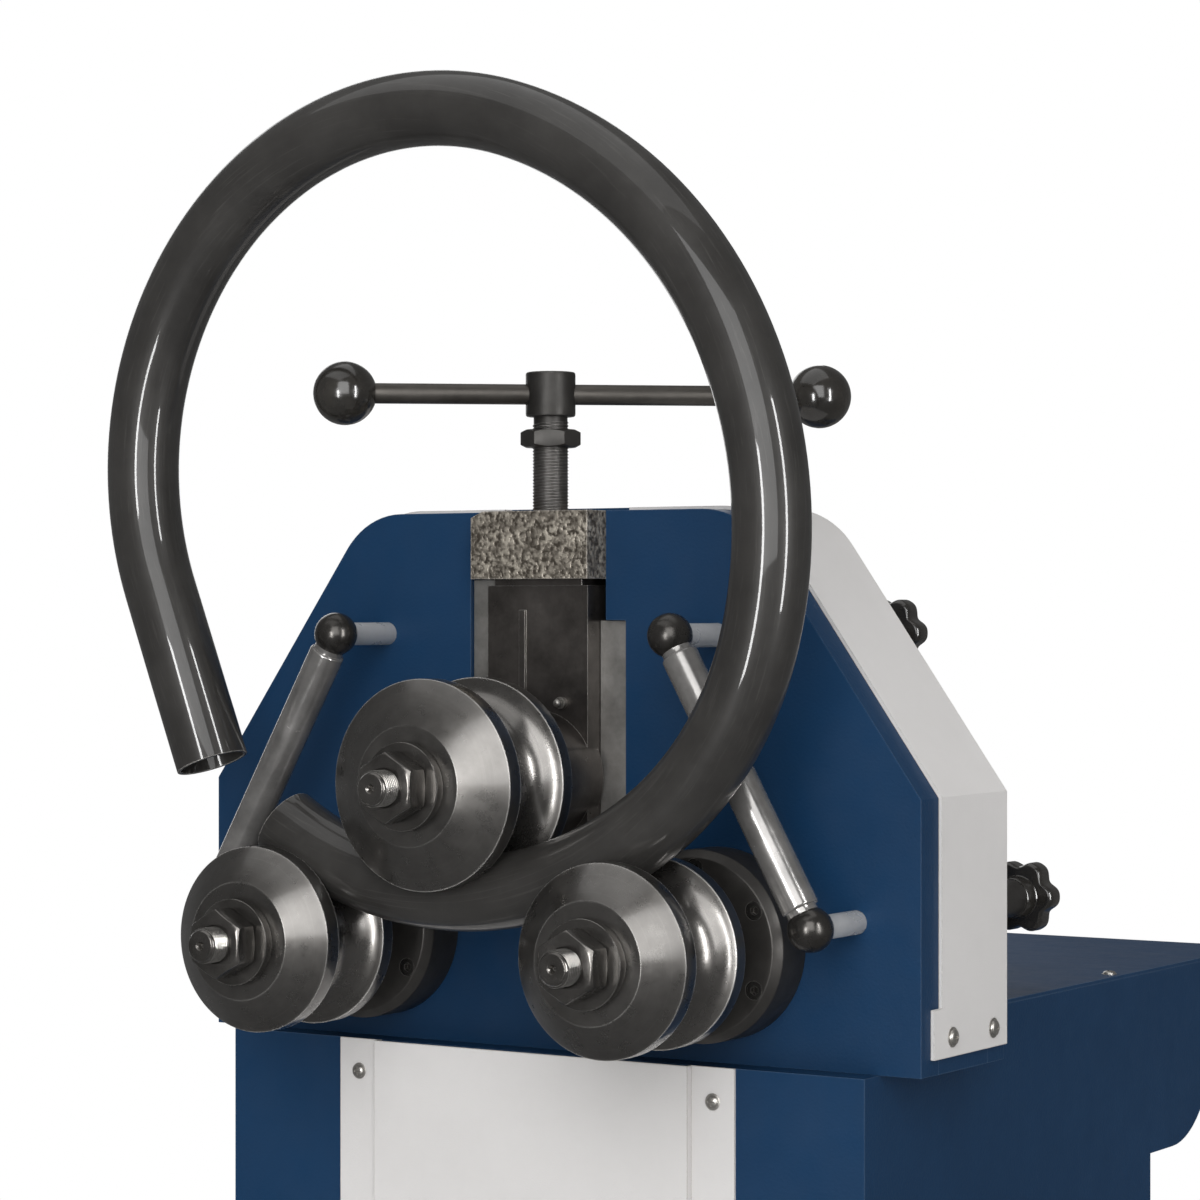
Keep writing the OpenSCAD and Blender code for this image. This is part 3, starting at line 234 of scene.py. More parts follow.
def relief(tree, height, depth):
    """A surface normal from a height between 0 and 1, that deep in metres."""
    return put(tree, "Bump", {"Strength": 1.0, "Distance": depth, "Height": height})[0]


def enamel(name, deep, pale, bare, rough, peel=420.0, worn=0.34, gloss=0.16, dusty=0.06):
    """Sprayed machine enamel: a slight orange peel, uneven depth, rubbed edges and dust."""
    material, tree, sockets, here = finish(name, rough, gloss=gloss)
    colour = tint(tree, patchy(tree, here, 5.0, 5, 0.3, 0.7), deep, pale)
    rubbed = edges_rubbed(tree, here, 55.0, worn, 0.0016)
    dust = put(tree, "Group", {"Place": here, "Amount": dusty}, node_tree=settled_dust)[0]
    dusted = cover_colour(tree, dust, colour, (0.42, 0.40, 0.36))
    tree.links.new(cover_colour(tree, rubbed, dusted, bare), sockets["Base Color"])
    uneven = patchy(tree, here, 30.0, 6, 0.3, 0.7, rough - 0.07, rough + 0.09)
    dulled = maths(tree, "MULTIPLY", dust, 0.5)
    tree.links.new(maths(tree, "ADD", uneven, dulled), sockets["Roughness"])
    tree.links.new(relief(tree, grain(tree, here, peel, 2, 0.4), 0.00016), sockets["Normal"])
    return material


blue_enamel = enamel("blue_enamel", (0.0058, 0.0335, 0.0880), (0.0078, 0.0405, 0.1040),
                     (0.045, 0.085, 0.150), 0.42, dusty=0.015)


def named(name):
    """The object just added, with its name."""
    piece = bpy.context.object
    piece.name = piece.data.name = name
    return piece


def alone(piece):
    """piece, as the only one selected."""
    bpy.ops.object.select_all(action="DESELECT")
    piece.select_set(True)
    bpy.context.view_layer.objects.active = piece
    return piece


def apply_modifier(piece, kind, **settings):
    """Adds one modifier to the piece and makes its result the mesh."""
    alone(piece)
    modifier = piece.modifiers.new(kind.lower(), kind)
    for key, value in settings.items():
        setattr(modifier, key, value)
    bpy.ops.object.modifier_apply(modifier=modifier.name)


def smoothed(piece, angle=32):
    """piece, shaded smooth except where its faces meet at more than this angle."""
    alone(piece)
    bpy.ops.object.shade_smooth_by_angle(angle=math.radians(angle))
    return piece


def eased_copy(node, name, ease):
    """The node's own shape, welded into one mesh, with its sharp edges taken off."""
    piece = bpy.data.objects.new(name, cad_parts[node].data.copy())
    piece.data.name = name
    piece.data.materials.clear()
    scene.collection.objects.link(piece)
    alone(piece)
    bpy.ops.object.mode_set(mode="EDIT")
    bpy.ops.mesh.select_all(action="SELECT")
    bpy.ops.mesh.remove_doubles(threshold=2e-6)
    bpy.ops.mesh.dissolve_limited(angle_limit=math.radians(0.6))
    bpy.ops.object.mode_set(mode="OBJECT")
    apply_modifier(piece, "BEVEL", width=ease, segments=2, limit_method="ANGLE",
                   angle_limit=math.radians(28), miter_outer="MITER_ARC")
    smoothed(piece)
    apply_modifier(piece, "WEIGHTED_NORMAL", mode="FACE_AREA", weight=80, keep_sharp=True)
    return piece


def fitted(piece, body, slot, material, *nodes):
    """Gives a finished piece its material and body, and the nodes that it stands for."""
    piece.data.materials.clear()
    piece.data.materials.append(material)
    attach(piece, body)
    if nodes:
        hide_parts(*nodes)
    return piece


def dressed(node, name, ease, body, slot, material):
    """Puts an eased copy of a node in that node's place."""
    return fitted(eased_copy(node, name, ease), body, slot, material, node)


def painted(node, material):
    """Puts a material on a node that keeps its own shape."""
    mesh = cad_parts[node].data
    for index in range(len(mesh.materials)):
        mesh.materials[index] = material
    if not mesh.materials:
        mesh.materials.append(material)


dressed("base_cabinet", "base_shell", 0.0012, "frame", "blue_paint", blue_enamel)
dressed("rear_lid", "drive_lid", 0.0008, "frame", "blue_paint", blue_enamel)

# Front panel: 2 mm sheet folded to a shallow hat, powder-coated light grey, screwed to the base
# by its two flanges. The coat is fine-grained and a little warm.
pale_coat = enamel("pale_coat", (0.64, 0.625, 0.615), (0.70, 0.685, 0.675), (0.42, 0.40, 0.37),
                   0.5, peel=900.0, worn=0.25, gloss=0.3, dusty=0.2)
dressed("base_front_panel", "front_panel", 0.0007, "frame", "pale_paint", pale_coat)


# Sheet screws: zinc-plated pan heads with a cross recess, over a small washer. They hold the
# front panel, the drive lid and the two side covers.
def turned(name, profile, place=(0, 0, 0), along=(0, 0, 1), sides=64):
    """A lathe-turned piece: a disc drawn out ring by ring through [distance, radius] pairs.
    A profile that comes back to its first pair has a bore."""
    axis = Vector(along).normalized()
    start, radius = profile[0]
    bored = tuple(profile[0]) == tuple(profile[-1])
    centre = Vector(place) + axis * start
    bpy.ops.mesh.primitive_circle_add(
        vertices=sides, radius=radius, location=centre,
        rotation=axis.to_track_quat("Z", "Y").to_euler(), fill_type="NOTHING" if bored else "NGON")
    piece = named(name)
    bpy.ops.object.mode_set(mode="EDIT")
    bpy.ops.mesh.select_all(action="SELECT")
    for distance, next_radius in profile[1:]:
        step = axis * (distance - start)
        bpy.ops.mesh.extrude_region_move(TRANSFORM_OT_translate={"value": step})
        centre += step
        bpy.ops.transform.resize(value=(next_radius / radius,) * 3, center_override=centre)
        start, radius = distance, next_radius
    bpy.ops.mesh.select_all(action="SELECT")
    bpy.ops.mesh.remove_doubles(threshold=1e-6)
    bpy.ops.mesh.normals_make_consistent(inside=False)
    bpy.ops.object.mode_set(mode="OBJECT")
    bpy.ops.object.transform_apply()
    return smoothed(piece)


def cut(piece, *tools, how="DIFFERENCE"):
    """Cuts a piece with the tools, or keeps what they share with it, and clears the tools away."""
    for tool in tools:
        apply_modifier(piece, "BOOLEAN", operation=how, object=tool, solver="EXACT")
        bpy.data.objects.remove(tool)
    return piece


def block(name, low, high):
    """A block between two corners."""
    middle = [(a + b) / 2 for a, b in zip(low, high)]
    bpy.ops.mesh.primitive_cube_add(size=1, location=middle)
    piece = named(name)
    bpy.ops.transform.resize(value=[b - a for a, b in zip(low, high)])
    bpy.ops.object.transform_apply()
    return piece


def joined(name, pieces):
    """Several pieces made into one object."""
    bpy.ops.object.select_all(action="DESELECT")
    for piece in pieces:
        piece.select_set(True)
    bpy.context.view_layer.objects.active = pieces[0]
    bpy.ops.object.join()
    return named(name)


def copies(pattern, places, along):
    """Copies of a piece that was made at the origin with its axis up, each with its own mesh."""
    turn = Vector(along).to_track_quat("Z", "Y").to_matrix().to_4x4()
    made = []
    for place in places:
        piece = pattern.copy()
        piece.data = pattern.data.copy()
        piece.data.transform(turn)
        piece.data.transform(Matrix.Translation(place))
        scene.collection.objects.link(piece)
        made.append(piece)
    return made


def steel(name, deep, pale, rough, metal=0.9, worn=0.3, edge=(0.62, 0.60, 0.57), draw=None):
    """Machined steel: uneven oxide, fine tool marks and edges rubbed bright.
    draw stretches the tool marks: small along the way that the tool went."""
    material, tree, sockets, here = finish(name, rough, metal)
    patches = patchy(tree, here, 26.0, 8, 0.32, 0.68, ragged=0.65)
    colour = tint(tree, patches, deep, pale)
    rubbed = edges_rubbed(tree, here, 90.0, worn, 0.0009)
    tree.links.new(cover_colour(tree, rubbed, colour, edge), sockets["Base Color"])
    stretched = put(tree, "Mapping", {"Vector": here, "Scale": draw or (1, 1, 1)})[0]
    marks = grain(tree, stretched, 700.0 if draw else 260.0, 3)
    uneven = patchy(tree, here, 45.0, 6, 0.3, 0.7, rough - 0.06, rough + 0.10)
    tree.links.new(uneven, sockets["Roughness"])
    tree.links.new(relief(tree, marks, 0.00006), sockets["Normal"])
    return material


zinc = steel("zinc_plate", (0.30, 0.29, 0.27), (0.48, 0.46, 0.43), 0.34, worn=0.2)


def pan_screw(head, height, washer):
    """A pan head with a cross recess on its washer, at the origin, facing up."""
    r = head / 2
    dome = [(height * s, r * math.sqrt(max(1 - s ** 3, 0.05))) for s in (0.35, 0.6, 0.8, 0.94, 1.0)]
    screw = turned("screw", [(washer, r * 0.96), (washer + 0.0002, r)] +
                   [(washer + h, w) for h, w in dome], sides=32)
    arm, thick, deep = r * 0.62, r * 0.13, washer + height * 0.55
    cross = [block("slot", (-a, -b, deep), (a, b, washer + 2 * height))
             for a, b in ((arm, thick), (thick, arm))]
    cut(screw, *cross)
    ring = turned("washer", [(0, r * 1.22), (washer * 0.8, r * 1.22), (washer, r * 1.16)], sides=32)
    return smoothed(joined("screw", [screw, ring]))


def spread(low, high, count):
    """count places from low to high, both ends included."""
    return [low + (high - low) * k / (count - 1) for k in range(count)]


def screw_group(name, node, pattern, places, along):
    """One screw set at each of its places, all as one piece."""
    group = joined(name, copies(pattern, places, along))
    return fitted(group, "frame", "dark_steel", zinc, node)


panel_head_r, lid_head_r, crown_over_flange = 0.006, 0.005, 0.006
panel_screw = pan_screw(0.0105, 0.0026, 0.0006)
low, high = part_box("panel_screws")
flange_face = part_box("base_front_panel")[0].y + crown_over_flange
screw_group("panel_screw_heads", "panel_screws", panel_screw,
            [(x, flange_face, z) for x in (low.x + panel_head_r, high.x - panel_head_r)
             for z in spread(low.z + panel_head_r, high.z - panel_head_r, 4)], (0, -1, 0))
low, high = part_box("lid_screws")
screw_group("lid_screw_heads", "lid_screws", panel_screw,
            [(x, y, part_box("rear_lid")[1].z) for x in (low.x + lid_head_r, high.x - lid_head_r)
             for y in spread(low.y + lid_head_r, high.y - lid_head_r, 3)], (0, 0, 1))

# Head plates: two flame-cut and ground plates, 28 mm thick, with a slot for the slide. They stand
# on the base in the same blue enamel as their foot bars, and dark steel tie bars join them.
dressed("head_front_plate", "front_plate", 0.0010, "frame", "blue_paint", blue_enamel)
dressed("head_rear_plate", "rear_plate", 0.0010, "frame", "blue_paint", blue_enamel)
oxide = steel("oxide_steel", (0.075, 0.071, 0.067), (0.120, 0.115, 0.109), 0.32, worn=0.30)
painted("head_tie_bars", oxide)
painted("head_foot_bars", blue_enamel)
dressed("head_bolts", "plate_bolts", 0.0006, "frame", "dark_steel", oxide)

# Side covers: 3 mm sheet bent round the head, powder-coated light grey. Each has a tab at its foot
# that is screwed to the front plate's edge. A blue bridge of the same sheet lies between them.
for side in ("right", "left"):
    dressed(f"side_cover_{side}", f"cover_{side}", 0.0010, "frame", "pale_paint", pale_coat)
painted("top_bridge", blue_enamel)
cover_screw = pan_screw(0.0125, 0.0030, 0.0008)
low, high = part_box("cover_screws")
cover_head_r, head_lift = 0.006, 0.003
heads = []
for side, edge in ((-1, low.x + head_lift), (1, high.x - head_lift)):
    places = [(edge, y, (low.z + high.z) / 2) for y in (low.y + cover_head_r, high.y - cover_head_r)]
    heads += copies(cover_screw, places, (side, 0, 0))
fitted(joined("cover_screw_heads", heads), "frame", "dark_steel", zinc, "cover_screws")
bpy.data.objects.remove(panel_screw)
bpy.data.objects.remove(cover_screw)

# Nut block: an iron casting seated between the front plate's ears, with a flange behind the
# plate. It keeps its cast skin under grey hammer paint, which dries in fine flecks.
hammer_paint, tree, sockets, here = finish("hammer_paint", 0.36, 0.5)
fleck = patchy(tree, here, 270.0, 3, 0.38, 0.62, ragged=0.5)
pools = patchy(tree, here, 95.0, 4, 0.34, 0.62, 0.3, 1.0, ragged=0.5)
blots = patchy(tree, here, 32.0, 5, 0.32, 0.62, 0.6, 1.0)
mottle = maths(tree, "MULTIPLY", maths(tree, "MULTIPLY", fleck, pools), blots)
colour = tint(tree, mottle, (0.070, 0.058, 0.045), (0.56, 0.51, 0.43))
rubbed = edges_rubbed(tree, here, 90.0, 0.3, 0.002)
tree.links.new(cover_colour(tree, rubbed, colour, (0.45, 0.42, 0.38)), sockets["Base Color"])
cast = maths(tree, "ADD", maths(tree, "MULTIPLY", fleck, 0.5), grain(tree, here, 70.0, 5))
tree.links.new(relief(tree, cast, 0.0008), sockets["Normal"])
dressed("nut_block", "nut_casting", 0.0022, "frame", "hammertone_iron", hammer_paint)
bronze = steel("bearing_bronze", (0.33, 0.20, 0.085), (0.47, 0.30, 0.14), 0.32, metal=1.0,
               edge=(0.62, 0.45, 0.25))
for node in ("spindle_nut", "lower_bushes", "upper_bushes"):
    painted(node, bronze)

# Slide and gibs: the milled slide carries the upper roll up and down between strips of ground
# steel. Its keeper plate holds the spindle's neck, and a grease nipple feeds its bearing.
milled = steel("milled_steel", (0.075, 0.068, 0.063), (0.150, 0.137, 0.128), 0.32, worn=0.30,
               draw=(1, 1, 0.05))
ground = steel("ground_strip", (0.17, 0.165, 0.155), (0.34, 0.33, 0.315), 0.40, metal=0.65,
               worn=0.3, draw=(1, 1, 0.04))
dressed("slide_block", "slide", 0.0010, "carriage", "dark_steel", milled)
dressed("keeper_plate", "keeper", 0.0006, "carriage", "dark_steel", milled)
for side in ("left", "right"):
    dressed(f"gibs_{side}", f"gib_strips_{side}", 0.0007, "frame", "bright_steel", ground)
painted("grease_nipple", zinc)
painted("keeper_screws", oxide)

# Bearing housings: turned steel flanges on the front plate's face, one round each lower shaft,
# each held by six socket screws. The caps on the rear plate keep grease round the ring nuts.
def eased(profile, ease):
    """The profile with its sharp corners rounded off."""
    least_bend = math.radians(20)
    rounded = [profile[0]]
    for before, corner, after in zip(profile, profile[1:], profile[2:]):
        here = Vector(corner)
        back, on = Vector(before) - here, Vector(after) - here
        reach = min(ease, back.length * 0.45, on.length * 0.45)
        if back.length == 0 or on.length == 0 or (-back).angle(on) < least_bend:
            rounded.append(tuple(corner))
            continue
        start, end = here + back.normalized() * reach, here + on.normalized() * reach
        for t in (0, 0.33, 0.67, 1):
            rounded.append(tuple(start * (1 - t) ** 2 + here * 2 * t * (1 - t) + end * t ** 2))
    return rounded + [profile[-1]]


def socket_screw(head, height, key):
    """A cylinder-head screw with a hexagon socket, at the origin, facing up."""
    screw = turned("screw", eased([(0, head / 2), (height, head / 2), (height, key * 0.7)], 0.0007),
                   sides=32)
    bpy.ops.mesh.primitive_cylinder_add(vertices=6, radius=key / math.sqrt(3), depth=height,
                                        location=(0, 0, height * 0.95))
    return smoothed(cut(screw, named("socket")))


def around(centre, radius, count, first):
    """Places on a circle in front of or behind the plates."""
    turns = [math.radians(first + k * 360 / count) for k in range(count)]
    return [(centre[0] + radius * math.cos(a), centre[1], centre[2] + radius * math.sin(a))
            for a in turns]


blackened = steel("blackened_steel", (0.040, 0.0375, 0.035), (0.066, 0.062, 0.058), 0.38, metal=0.6,
                  worn=0.25, edge=(0.30, 0.29, 0.27))
spigot_r, housing_chamfer = 0.045, 0.006
counterbore_r, counterbore_deep, cap_screw_in = 0.007, 0.009, 0.007
flange_screw = socket_screw(0.013, 0.008, 0.006)
cap_screw = socket_screw(0.010, 0.005, 0.005)
heads = []
for side in ("left", "right"):
    low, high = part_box(f"bearing_housing_{side}")
    axis = (low + high) / 2
    back, front, flange_r = -high.y, -low.y, (high.x - low.x) / 2
    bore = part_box("lower_bushes")[1].x - abs(axis.x)
    profile = [(back, bore), (back, spigot_r), (0, spigot_r), (0, flange_r),
               (front - housing_chamfer, flange_r), (front, flange_r - housing_chamfer),
               (front, bore), (back, bore)]
    housing = turned(f"housing_{side}", eased(profile, 0.0009), (axis.x, 0, axis.z), (0, -1, 0),
                     sides=128)
    ring = (flange_r + spigot_r) / 2
    seats = around((axis.x, low.y + counterbore_deep, axis.z), ring, 6, 30)
    drill = [(0, counterbore_r), (2 * counterbore_deep, counterbore_r)]
    cut(housing, *[turned("seat", drill, place, (0, -1, 0), sides=40) for place in seats])
    fitted(smoothed(housing), "frame", "dark_steel", blackened, f"bearing_housing_{side}")
    heads += copies(flange_screw, seats, (0, -1, 0))
    cap_low, cap_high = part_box("rear_bearing_caps")
    ring = (cap_high.z - cap_low.z) / 2 - cap_screw_in
    heads += copies(cap_screw, around((axis.x, cap_high.y, axis.z), ring, 4, 45), (0, 1, 0))
fitted(joined("socket_screws", heads), "frame", "dark_steel", oxide, "housing_screws")
bpy.data.objects.remove(flange_screw)
bpy.data.objects.remove(cap_screw)
cast_enamel = enamel("drive_enamel", (0.085, 0.09, 0.09), (0.12, 0.125, 0.125), (0.3, 0.29, 0.27),
                     0.45)
dressed("rear_bearing_caps", "bearing_caps", 0.0010, "frame", "hammertone_iron", cast_enamel)


# Rolls: hardened tool steel, turned all over, each with one deep groove for the tube and a cone
# down to its hub. Use has rubbed the grooves and rims bright over the brown-black oxide, and part of
# that pale colour is painted highlight.
def turned_steel(name, centre, groove_y, groove_half):
    """Steel with rings of tool marks round centre, rubbed bright in the groove and on the edges,
    partly as painted highlight.
    """
    material, tree, sockets, here = finish(name, 0.30, 0.92)
    sockets["Coat Weight"].default_value = 0.5
    sockets["Coat Roughness"].default_value = 0.12
    centred = put(tree, "Mapping", {"Vector": here, "Location": (-centre.x, 0, -centre.z)})[0]
    off_axis = put(tree, "VectorMath", {0: centred, 1: (1, 0, 1)}, operation="MULTIPLY")[0]
    reach = put(tree, "VectorMath", {0: off_axis}, operation="LENGTH")["Value"]
    depth = put(tree, "SeparateXYZ", {0: here})["Y"]
    ringed = put(tree, "CombineXYZ", {"X": reach, "Y": depth})[0]
    fine, broad = grain(tree, ringed, 1500, 2), grain(tree, ringed, 210, 3)
    patches = patchy(tree, here, 24, 9, 0.3, 0.7, ragged=0.68)
    colour = tint(tree, patches, (0.105, 0.100, 0.094), (0.160, 0.153, 0.145))
    colour = cover_colour(tree, ramp(tree, broad, 0.56, 0.75, 0, 0.5), colour, (0.20, 0.19, 0.18))
    # The groove is painted lighter and smoother: partly polish from the tube, partly a painted
    # highlight.
    from_groove = maths(tree, "ABSOLUTE", maths(tree, "SUBTRACT", depth, groove_y))
    in_groove = ramp(tree, from_groove, groove_half * 1.02, groove_half * 0.80)
    streaks = patchy(tree, ringed, 420, 4, 0.36, 0.62, 0.25, 1.0, ragged=0.7)
    groove_polish_and_highlight = maths(tree, "MULTIPLY", in_groove, streaks)
    colour = cover_colour(tree, maths(tree, "MULTIPLY", groove_polish_and_highlight, 0.5), colour, (0.20, 0.19, 0.18))
    # The edges are painted pale and barely metallic: partly rubbed wear, partly painted highlight
    # lines on the rims and the hub's edge.
    rubbed = edges_rubbed(tree, here, 130.0, 0.95, 0.0020)
    tree.links.new(cover_colour(tree, rubbed, colour, (0.74, 0.72, 0.69)), sockets["Base Color"])
    tree.links.new(ramp(tree, rubbed, 0, 1, 0.92, 0.20), sockets["Metallic"])
    uneven = patchy(tree, here, 70, 7, 0.3, 0.7, 0.24, 0.36)
    tree.links.new(maths(tree, "SUBTRACT", uneven, maths(tree, "MULTIPLY", groove_polish_and_highlight, 0.06)),
                   sockets["Roughness"])
    marks = maths(tree, "ADD", maths(tree, "MULTIPLY", fine, 0.35),
                  maths(tree, "MULTIPLY", broad, 0.65))
    tree.links.new(relief(tree, marks, 0.00007), sockets["Normal"])
    return material


def roll_profile(box, bore, hub, groove_at, groove_deep, tube_r):
    """A roll's closed profile from its rear face to its hub: [distance in front, radius]."""
    rear, front = -box[1].y, -box[0].y
    rim = (box[1].x - box[0].x) / 2
    rim_front = 2 * groove_at - rear
    round_r, centre = tube_r + tube_play, rim - groove_deep + tube_r
    half = math.acos((centre - rim) / round_r)
    groove = [(groove_at + round_r * math.sin(a), centre - round_r * math.cos(a))
              for a in spread(-half, half, 29)]
    rear_part = [(rear, bore), (rear, rim - rim_chamfer), (rear + rim_chamfer, rim)]
    front_part = [(rim_front, rim), (front, hub), (front, bore), (rear, bore)]
    return eased(rear_part + groove + front_part, rim_ease)


tube_low, tube_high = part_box("bent_tube")
tube_r = (tube_high.y - tube_low.y) / 2
tube_lead = -(tube_low.y + tube_high.y) / 2
shaft_r, hub_r, groove_deep = 0.020, 0.045, 0.0248
rim_chamfer, rim_ease, tube_play = 0.002, 0.0003, 0.0003
roll_sets = (("upper", "upper_roll_set"), ("lower_left", "lower_left_set"),
             ("lower_right", "lower_right_set"))
for where, body in roll_sets:
    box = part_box(f"{where}_roll")
    axis = (box[0] + box[1]) / 2
    profile = roll_profile(box, shaft_r, hub_r, tube_lead, groove_deep, tube_r)
    roll = turned(f"{where}_grooved_roll", profile, (axis.x, 0, axis.z), (0, -1, 0), sides=160)
    roll_steel = turned_steel(f"{where}_roll_steel", axis, -tube_lead, tube_r)
    fitted(roll, body, "dark_steel", roll_steel, f"{where}_roll")


# Roll shafts: ground 40 mm steel with a collar behind the roll, a threaded stub in front with a
# centre hole in its end, and a finer thread at the rear for the ring nut.
def thread(name, place, along, length, outer, pitch, deep, starts=1):
    """A screw thread's ridges, wound up an axis from place, running out at both ends."""
    ridges = []
    outer_r, root = outer / 2, outer / 2 - deep
    sunk = root - 0.0003
    for start in range(starts):
        bpy.ops.mesh.primitive_plane_add(size=1)
        ridge = named("ridge")
        wide, crest = pitch * 0.46, pitch * 0.10
        corners = [(sunk, -wide), (sunk, wide), (outer_r, crest), (outer_r, -crest)]
        for vertex, (out, up) in zip((0, 1, 3, 2), corners):
            ridge.data.vertices[vertex].co = (out, 0, up + start * pitch)
        alone(ridge)
        bpy.ops.object.mode_set(mode="EDIT")
        bpy.ops.mesh.select_all(action="SELECT")
        bpy.ops.mesh.delete(type="ONLY_FACE")
        bpy.ops.object.mode_set(mode="OBJECT")
        turns = max(int(length / (pitch * starts)), 1)
        apply_modifier(ridge, "SCREW", axis="Z", steps=40, render_steps=40, iterations=turns,
                       screw_offset=pitch * starts, use_merge_vertices=False)
        ridges.append(ridge)
    piece = joined(name, ridges) if starts > 1 else named(name)
    bpy.ops.object.mode_set(mode="EDIT")
    bpy.ops.mesh.select_all(action="SELECT")
    bpy.ops.mesh.fill_holes(sides=4)
    bpy.ops.mesh.normals_make_consistent(inside=False)
    bpy.ops.object.mode_set(mode="OBJECT")
    top = max(v.co.z for v in piece.data.vertices)
    for vertex in piece.data.vertices:
        from_end = min(vertex.co.z + pitch / 2, top - vertex.co.z) * 0.9
        reach = math.hypot(vertex.co.x, vertex.co.y)
        vertex.co.xy *= min(reach, sunk + max(from_end, 0)) / reach
    turn = Vector(along).to_track_quat("Z", "Y")
    piece.data.transform(turn.to_matrix().to_4x4())
    piece.data.transform(Matrix.Translation(place))
    return smoothed(piece, 40)


# Blued steel with its edges painted near white: partly rubbed wear, partly painted highlights on the
# nut corners and shaft ends.
blued = steel("blued_steel", (0.095, 0.090, 0.084), (0.190, 0.181, 0.171), 0.20, worn=0.6,
              edge=(0.74, 0.72, 0.68))
collar_r, stub_r, ring_thread_r, centre_hole = 0.030, 0.0135, 0.017, 0.0035
stub_pitch, stub_deep, stub_chamfer, ring_thread_run = 0.0022, 0.0012, 0.002, 0.013
bearing_front = {"upper": 0.0753, "lower_left": 0.0403, "lower_right": 0.0403}
for where, body in roll_sets:
    low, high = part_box(f"{where}_shaft")
    roll_low, roll_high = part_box(f"{where}_roll")
    axis = (low + high) / 2
    end, rear = -low.y, -high.y
    shoulder, hub_face = -roll_high.y, -roll_low.y
    ring_seat = rear + ring_thread_run
    core = stub_r - stub_deep
    profile = [(rear, ring_thread_r - stub_chamfer), (rear + stub_chamfer, ring_thread_r),
               (ring_seat, ring_thread_r), (ring_seat, shaft_r), (bearing_front[where], shaft_r),
               (bearing_front[where], collar_r), (shoulder, collar_r), (shoulder, shaft_r),
               (hub_face - 0.002, shaft_r), (hub_face - 0.002, core), (end - stub_chamfer, core),
               (end, core - 0.0015), (end, centre_hole), (end - 0.004, 0.0012)]
    place = (axis.x, 0, axis.z)
    shaft = turned("shaft", eased(profile, 0.0006), place, (0, -1, 0))
    start = hub_face + 0.004
    ridge = thread("stub_thread", (axis.x, -start, axis.z), (0, -1, 0), end - start - 0.001,
                   2 * stub_r, stub_pitch, stub_deep)
    fitted(joined(f"{where}_roll_shaft", [shaft, ridge]), body, "dark_steel", blued,
           f"{where}_shaft")


# Roll nuts: a thick turned washer and a forged hexagon nut, chamfered both sides and blued. Its
# corners are rubbed by the spanner, and their pale edge colour is partly painted highlight. A
# slotted ring nut closes the shaft's other end.
def hex_nut(name, place, along, flats, height, bore):
    """A hexagon nut with turned chamfers, from place along its axis."""
    corner = flats / math.sqrt(3)
    axis = Vector(along).normalized()
    turn = axis.to_track_quat("Z", "Y").to_euler()
    bpy.ops.mesh.primitive_cylinder_add(vertices=6, radius=corner, depth=height,
                                        location=Vector(place) + axis * height / 2, rotation=turn)
    nut = named(name)
    bpy.ops.object.transform_apply()
    flat_r, out_r = flats * 0.475, corner * 1.03
    rise = (out_r - flat_r) * math.tan(math.radians(28))
    lens = turned("lens", [(0, flat_r), (rise, out_r), (height - rise, out_r), (height, flat_r)],
                  place, along)
    hole = turned("hole", [(-0.002, bore + 0.003), (0.001, bore), (height - 0.001, bore),
                           (height + 0.002, bore + 0.003)], place, along)
    cut(nut, lens, how="INTERSECT")
    cut(nut, hole)
    apply_modifier(nut, "BEVEL", width=0.0005, segments=2, limit_method="ANGLE",
                   angle_limit=math.radians(35))
    return smoothed(nut)


washer_r, washer_t, nut_flats = 0.033, 0.008, 0.046
ring_r, ring_t, slot_half, slot_deep = 0.029, 0.011, 0.004, 0.005
for where, body in roll_sets:
    node = f"{where}_roll_nuts" if where == "upper" else f"{where}_nuts"
    low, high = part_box(node)
    roll_low, roll_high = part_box(f"{where}_roll")
    axis = (roll_low + roll_high) / 2
    place = (axis.x, 0, axis.z)
    washer_at, nut_end, ring_end = -roll_low.y, -low.y, high.y
    nut_at = washer_at + washer_t
    washer = turned("washer", eased([(washer_at, stub_r), (washer_at, washer_r), (nut_at, washer_r),
                                     (nut_at, stub_r), (washer_at, stub_r)], 0.0010),
                    place, (0, -1, 0), sides=96)
    nut = hex_nut("nut", (axis.x, -nut_at, axis.z), (0, -1, 0), nut_flats, nut_end - nut_at, stub_r)
    ring = turned("ring", eased([(0, ring_thread_r), (0, ring_r), (ring_t, ring_r),
                                 (ring_t, ring_thread_r), (0, ring_thread_r)], 0.0008),
                  (axis.x, ring_end - ring_t, axis.z), (0, 1, 0))
    slots = []
    for k in range(4):
        a = math.radians(45 + 90 * k)
        slot = block("slot", (-slot_half, -0.01, ring_r - slot_deep),
                     (slot_half, 0.02, ring_r + slot_deep))
        outwards = Vector((math.cos(a), 0, math.sin(a)))
        slot.data.transform(outwards.to_track_quat("Z", "Y").to_matrix().to_4x4())
        slot.data.transform(Matrix.Translation((axis.x, ring_end - ring_t, axis.z)))
        slots.append(slot)
    cut(ring, *slots)
    nut_set = joined(f"{where}_nut_set", [washer, nut, smoothed(ring)])
    fitted(nut_set, body, "dark_steel", blued, node)

# Gear train and drive: cut steel gears with a film of oil between the plates, and a cast gearbox
# and motor in grey enamel inside the base. Blackened sleeves behind the head guide the rods.
gear_steel = steel("gear_steel", (0.20, 0.19, 0.17), (0.34, 0.325, 0.30), 0.26, worn=0.35,
                   edge=(0.6, 0.58, 0.55))
for node in ("lower_left_gear", "lower_right_gear", "idler_gear", "drive_pinion", "idler_axle"):
    painted(node, gear_steel)
for node in ("gearbox", "motor"):
    painted(node, cast_enamel)
painted("guide_sleeves", blackened)

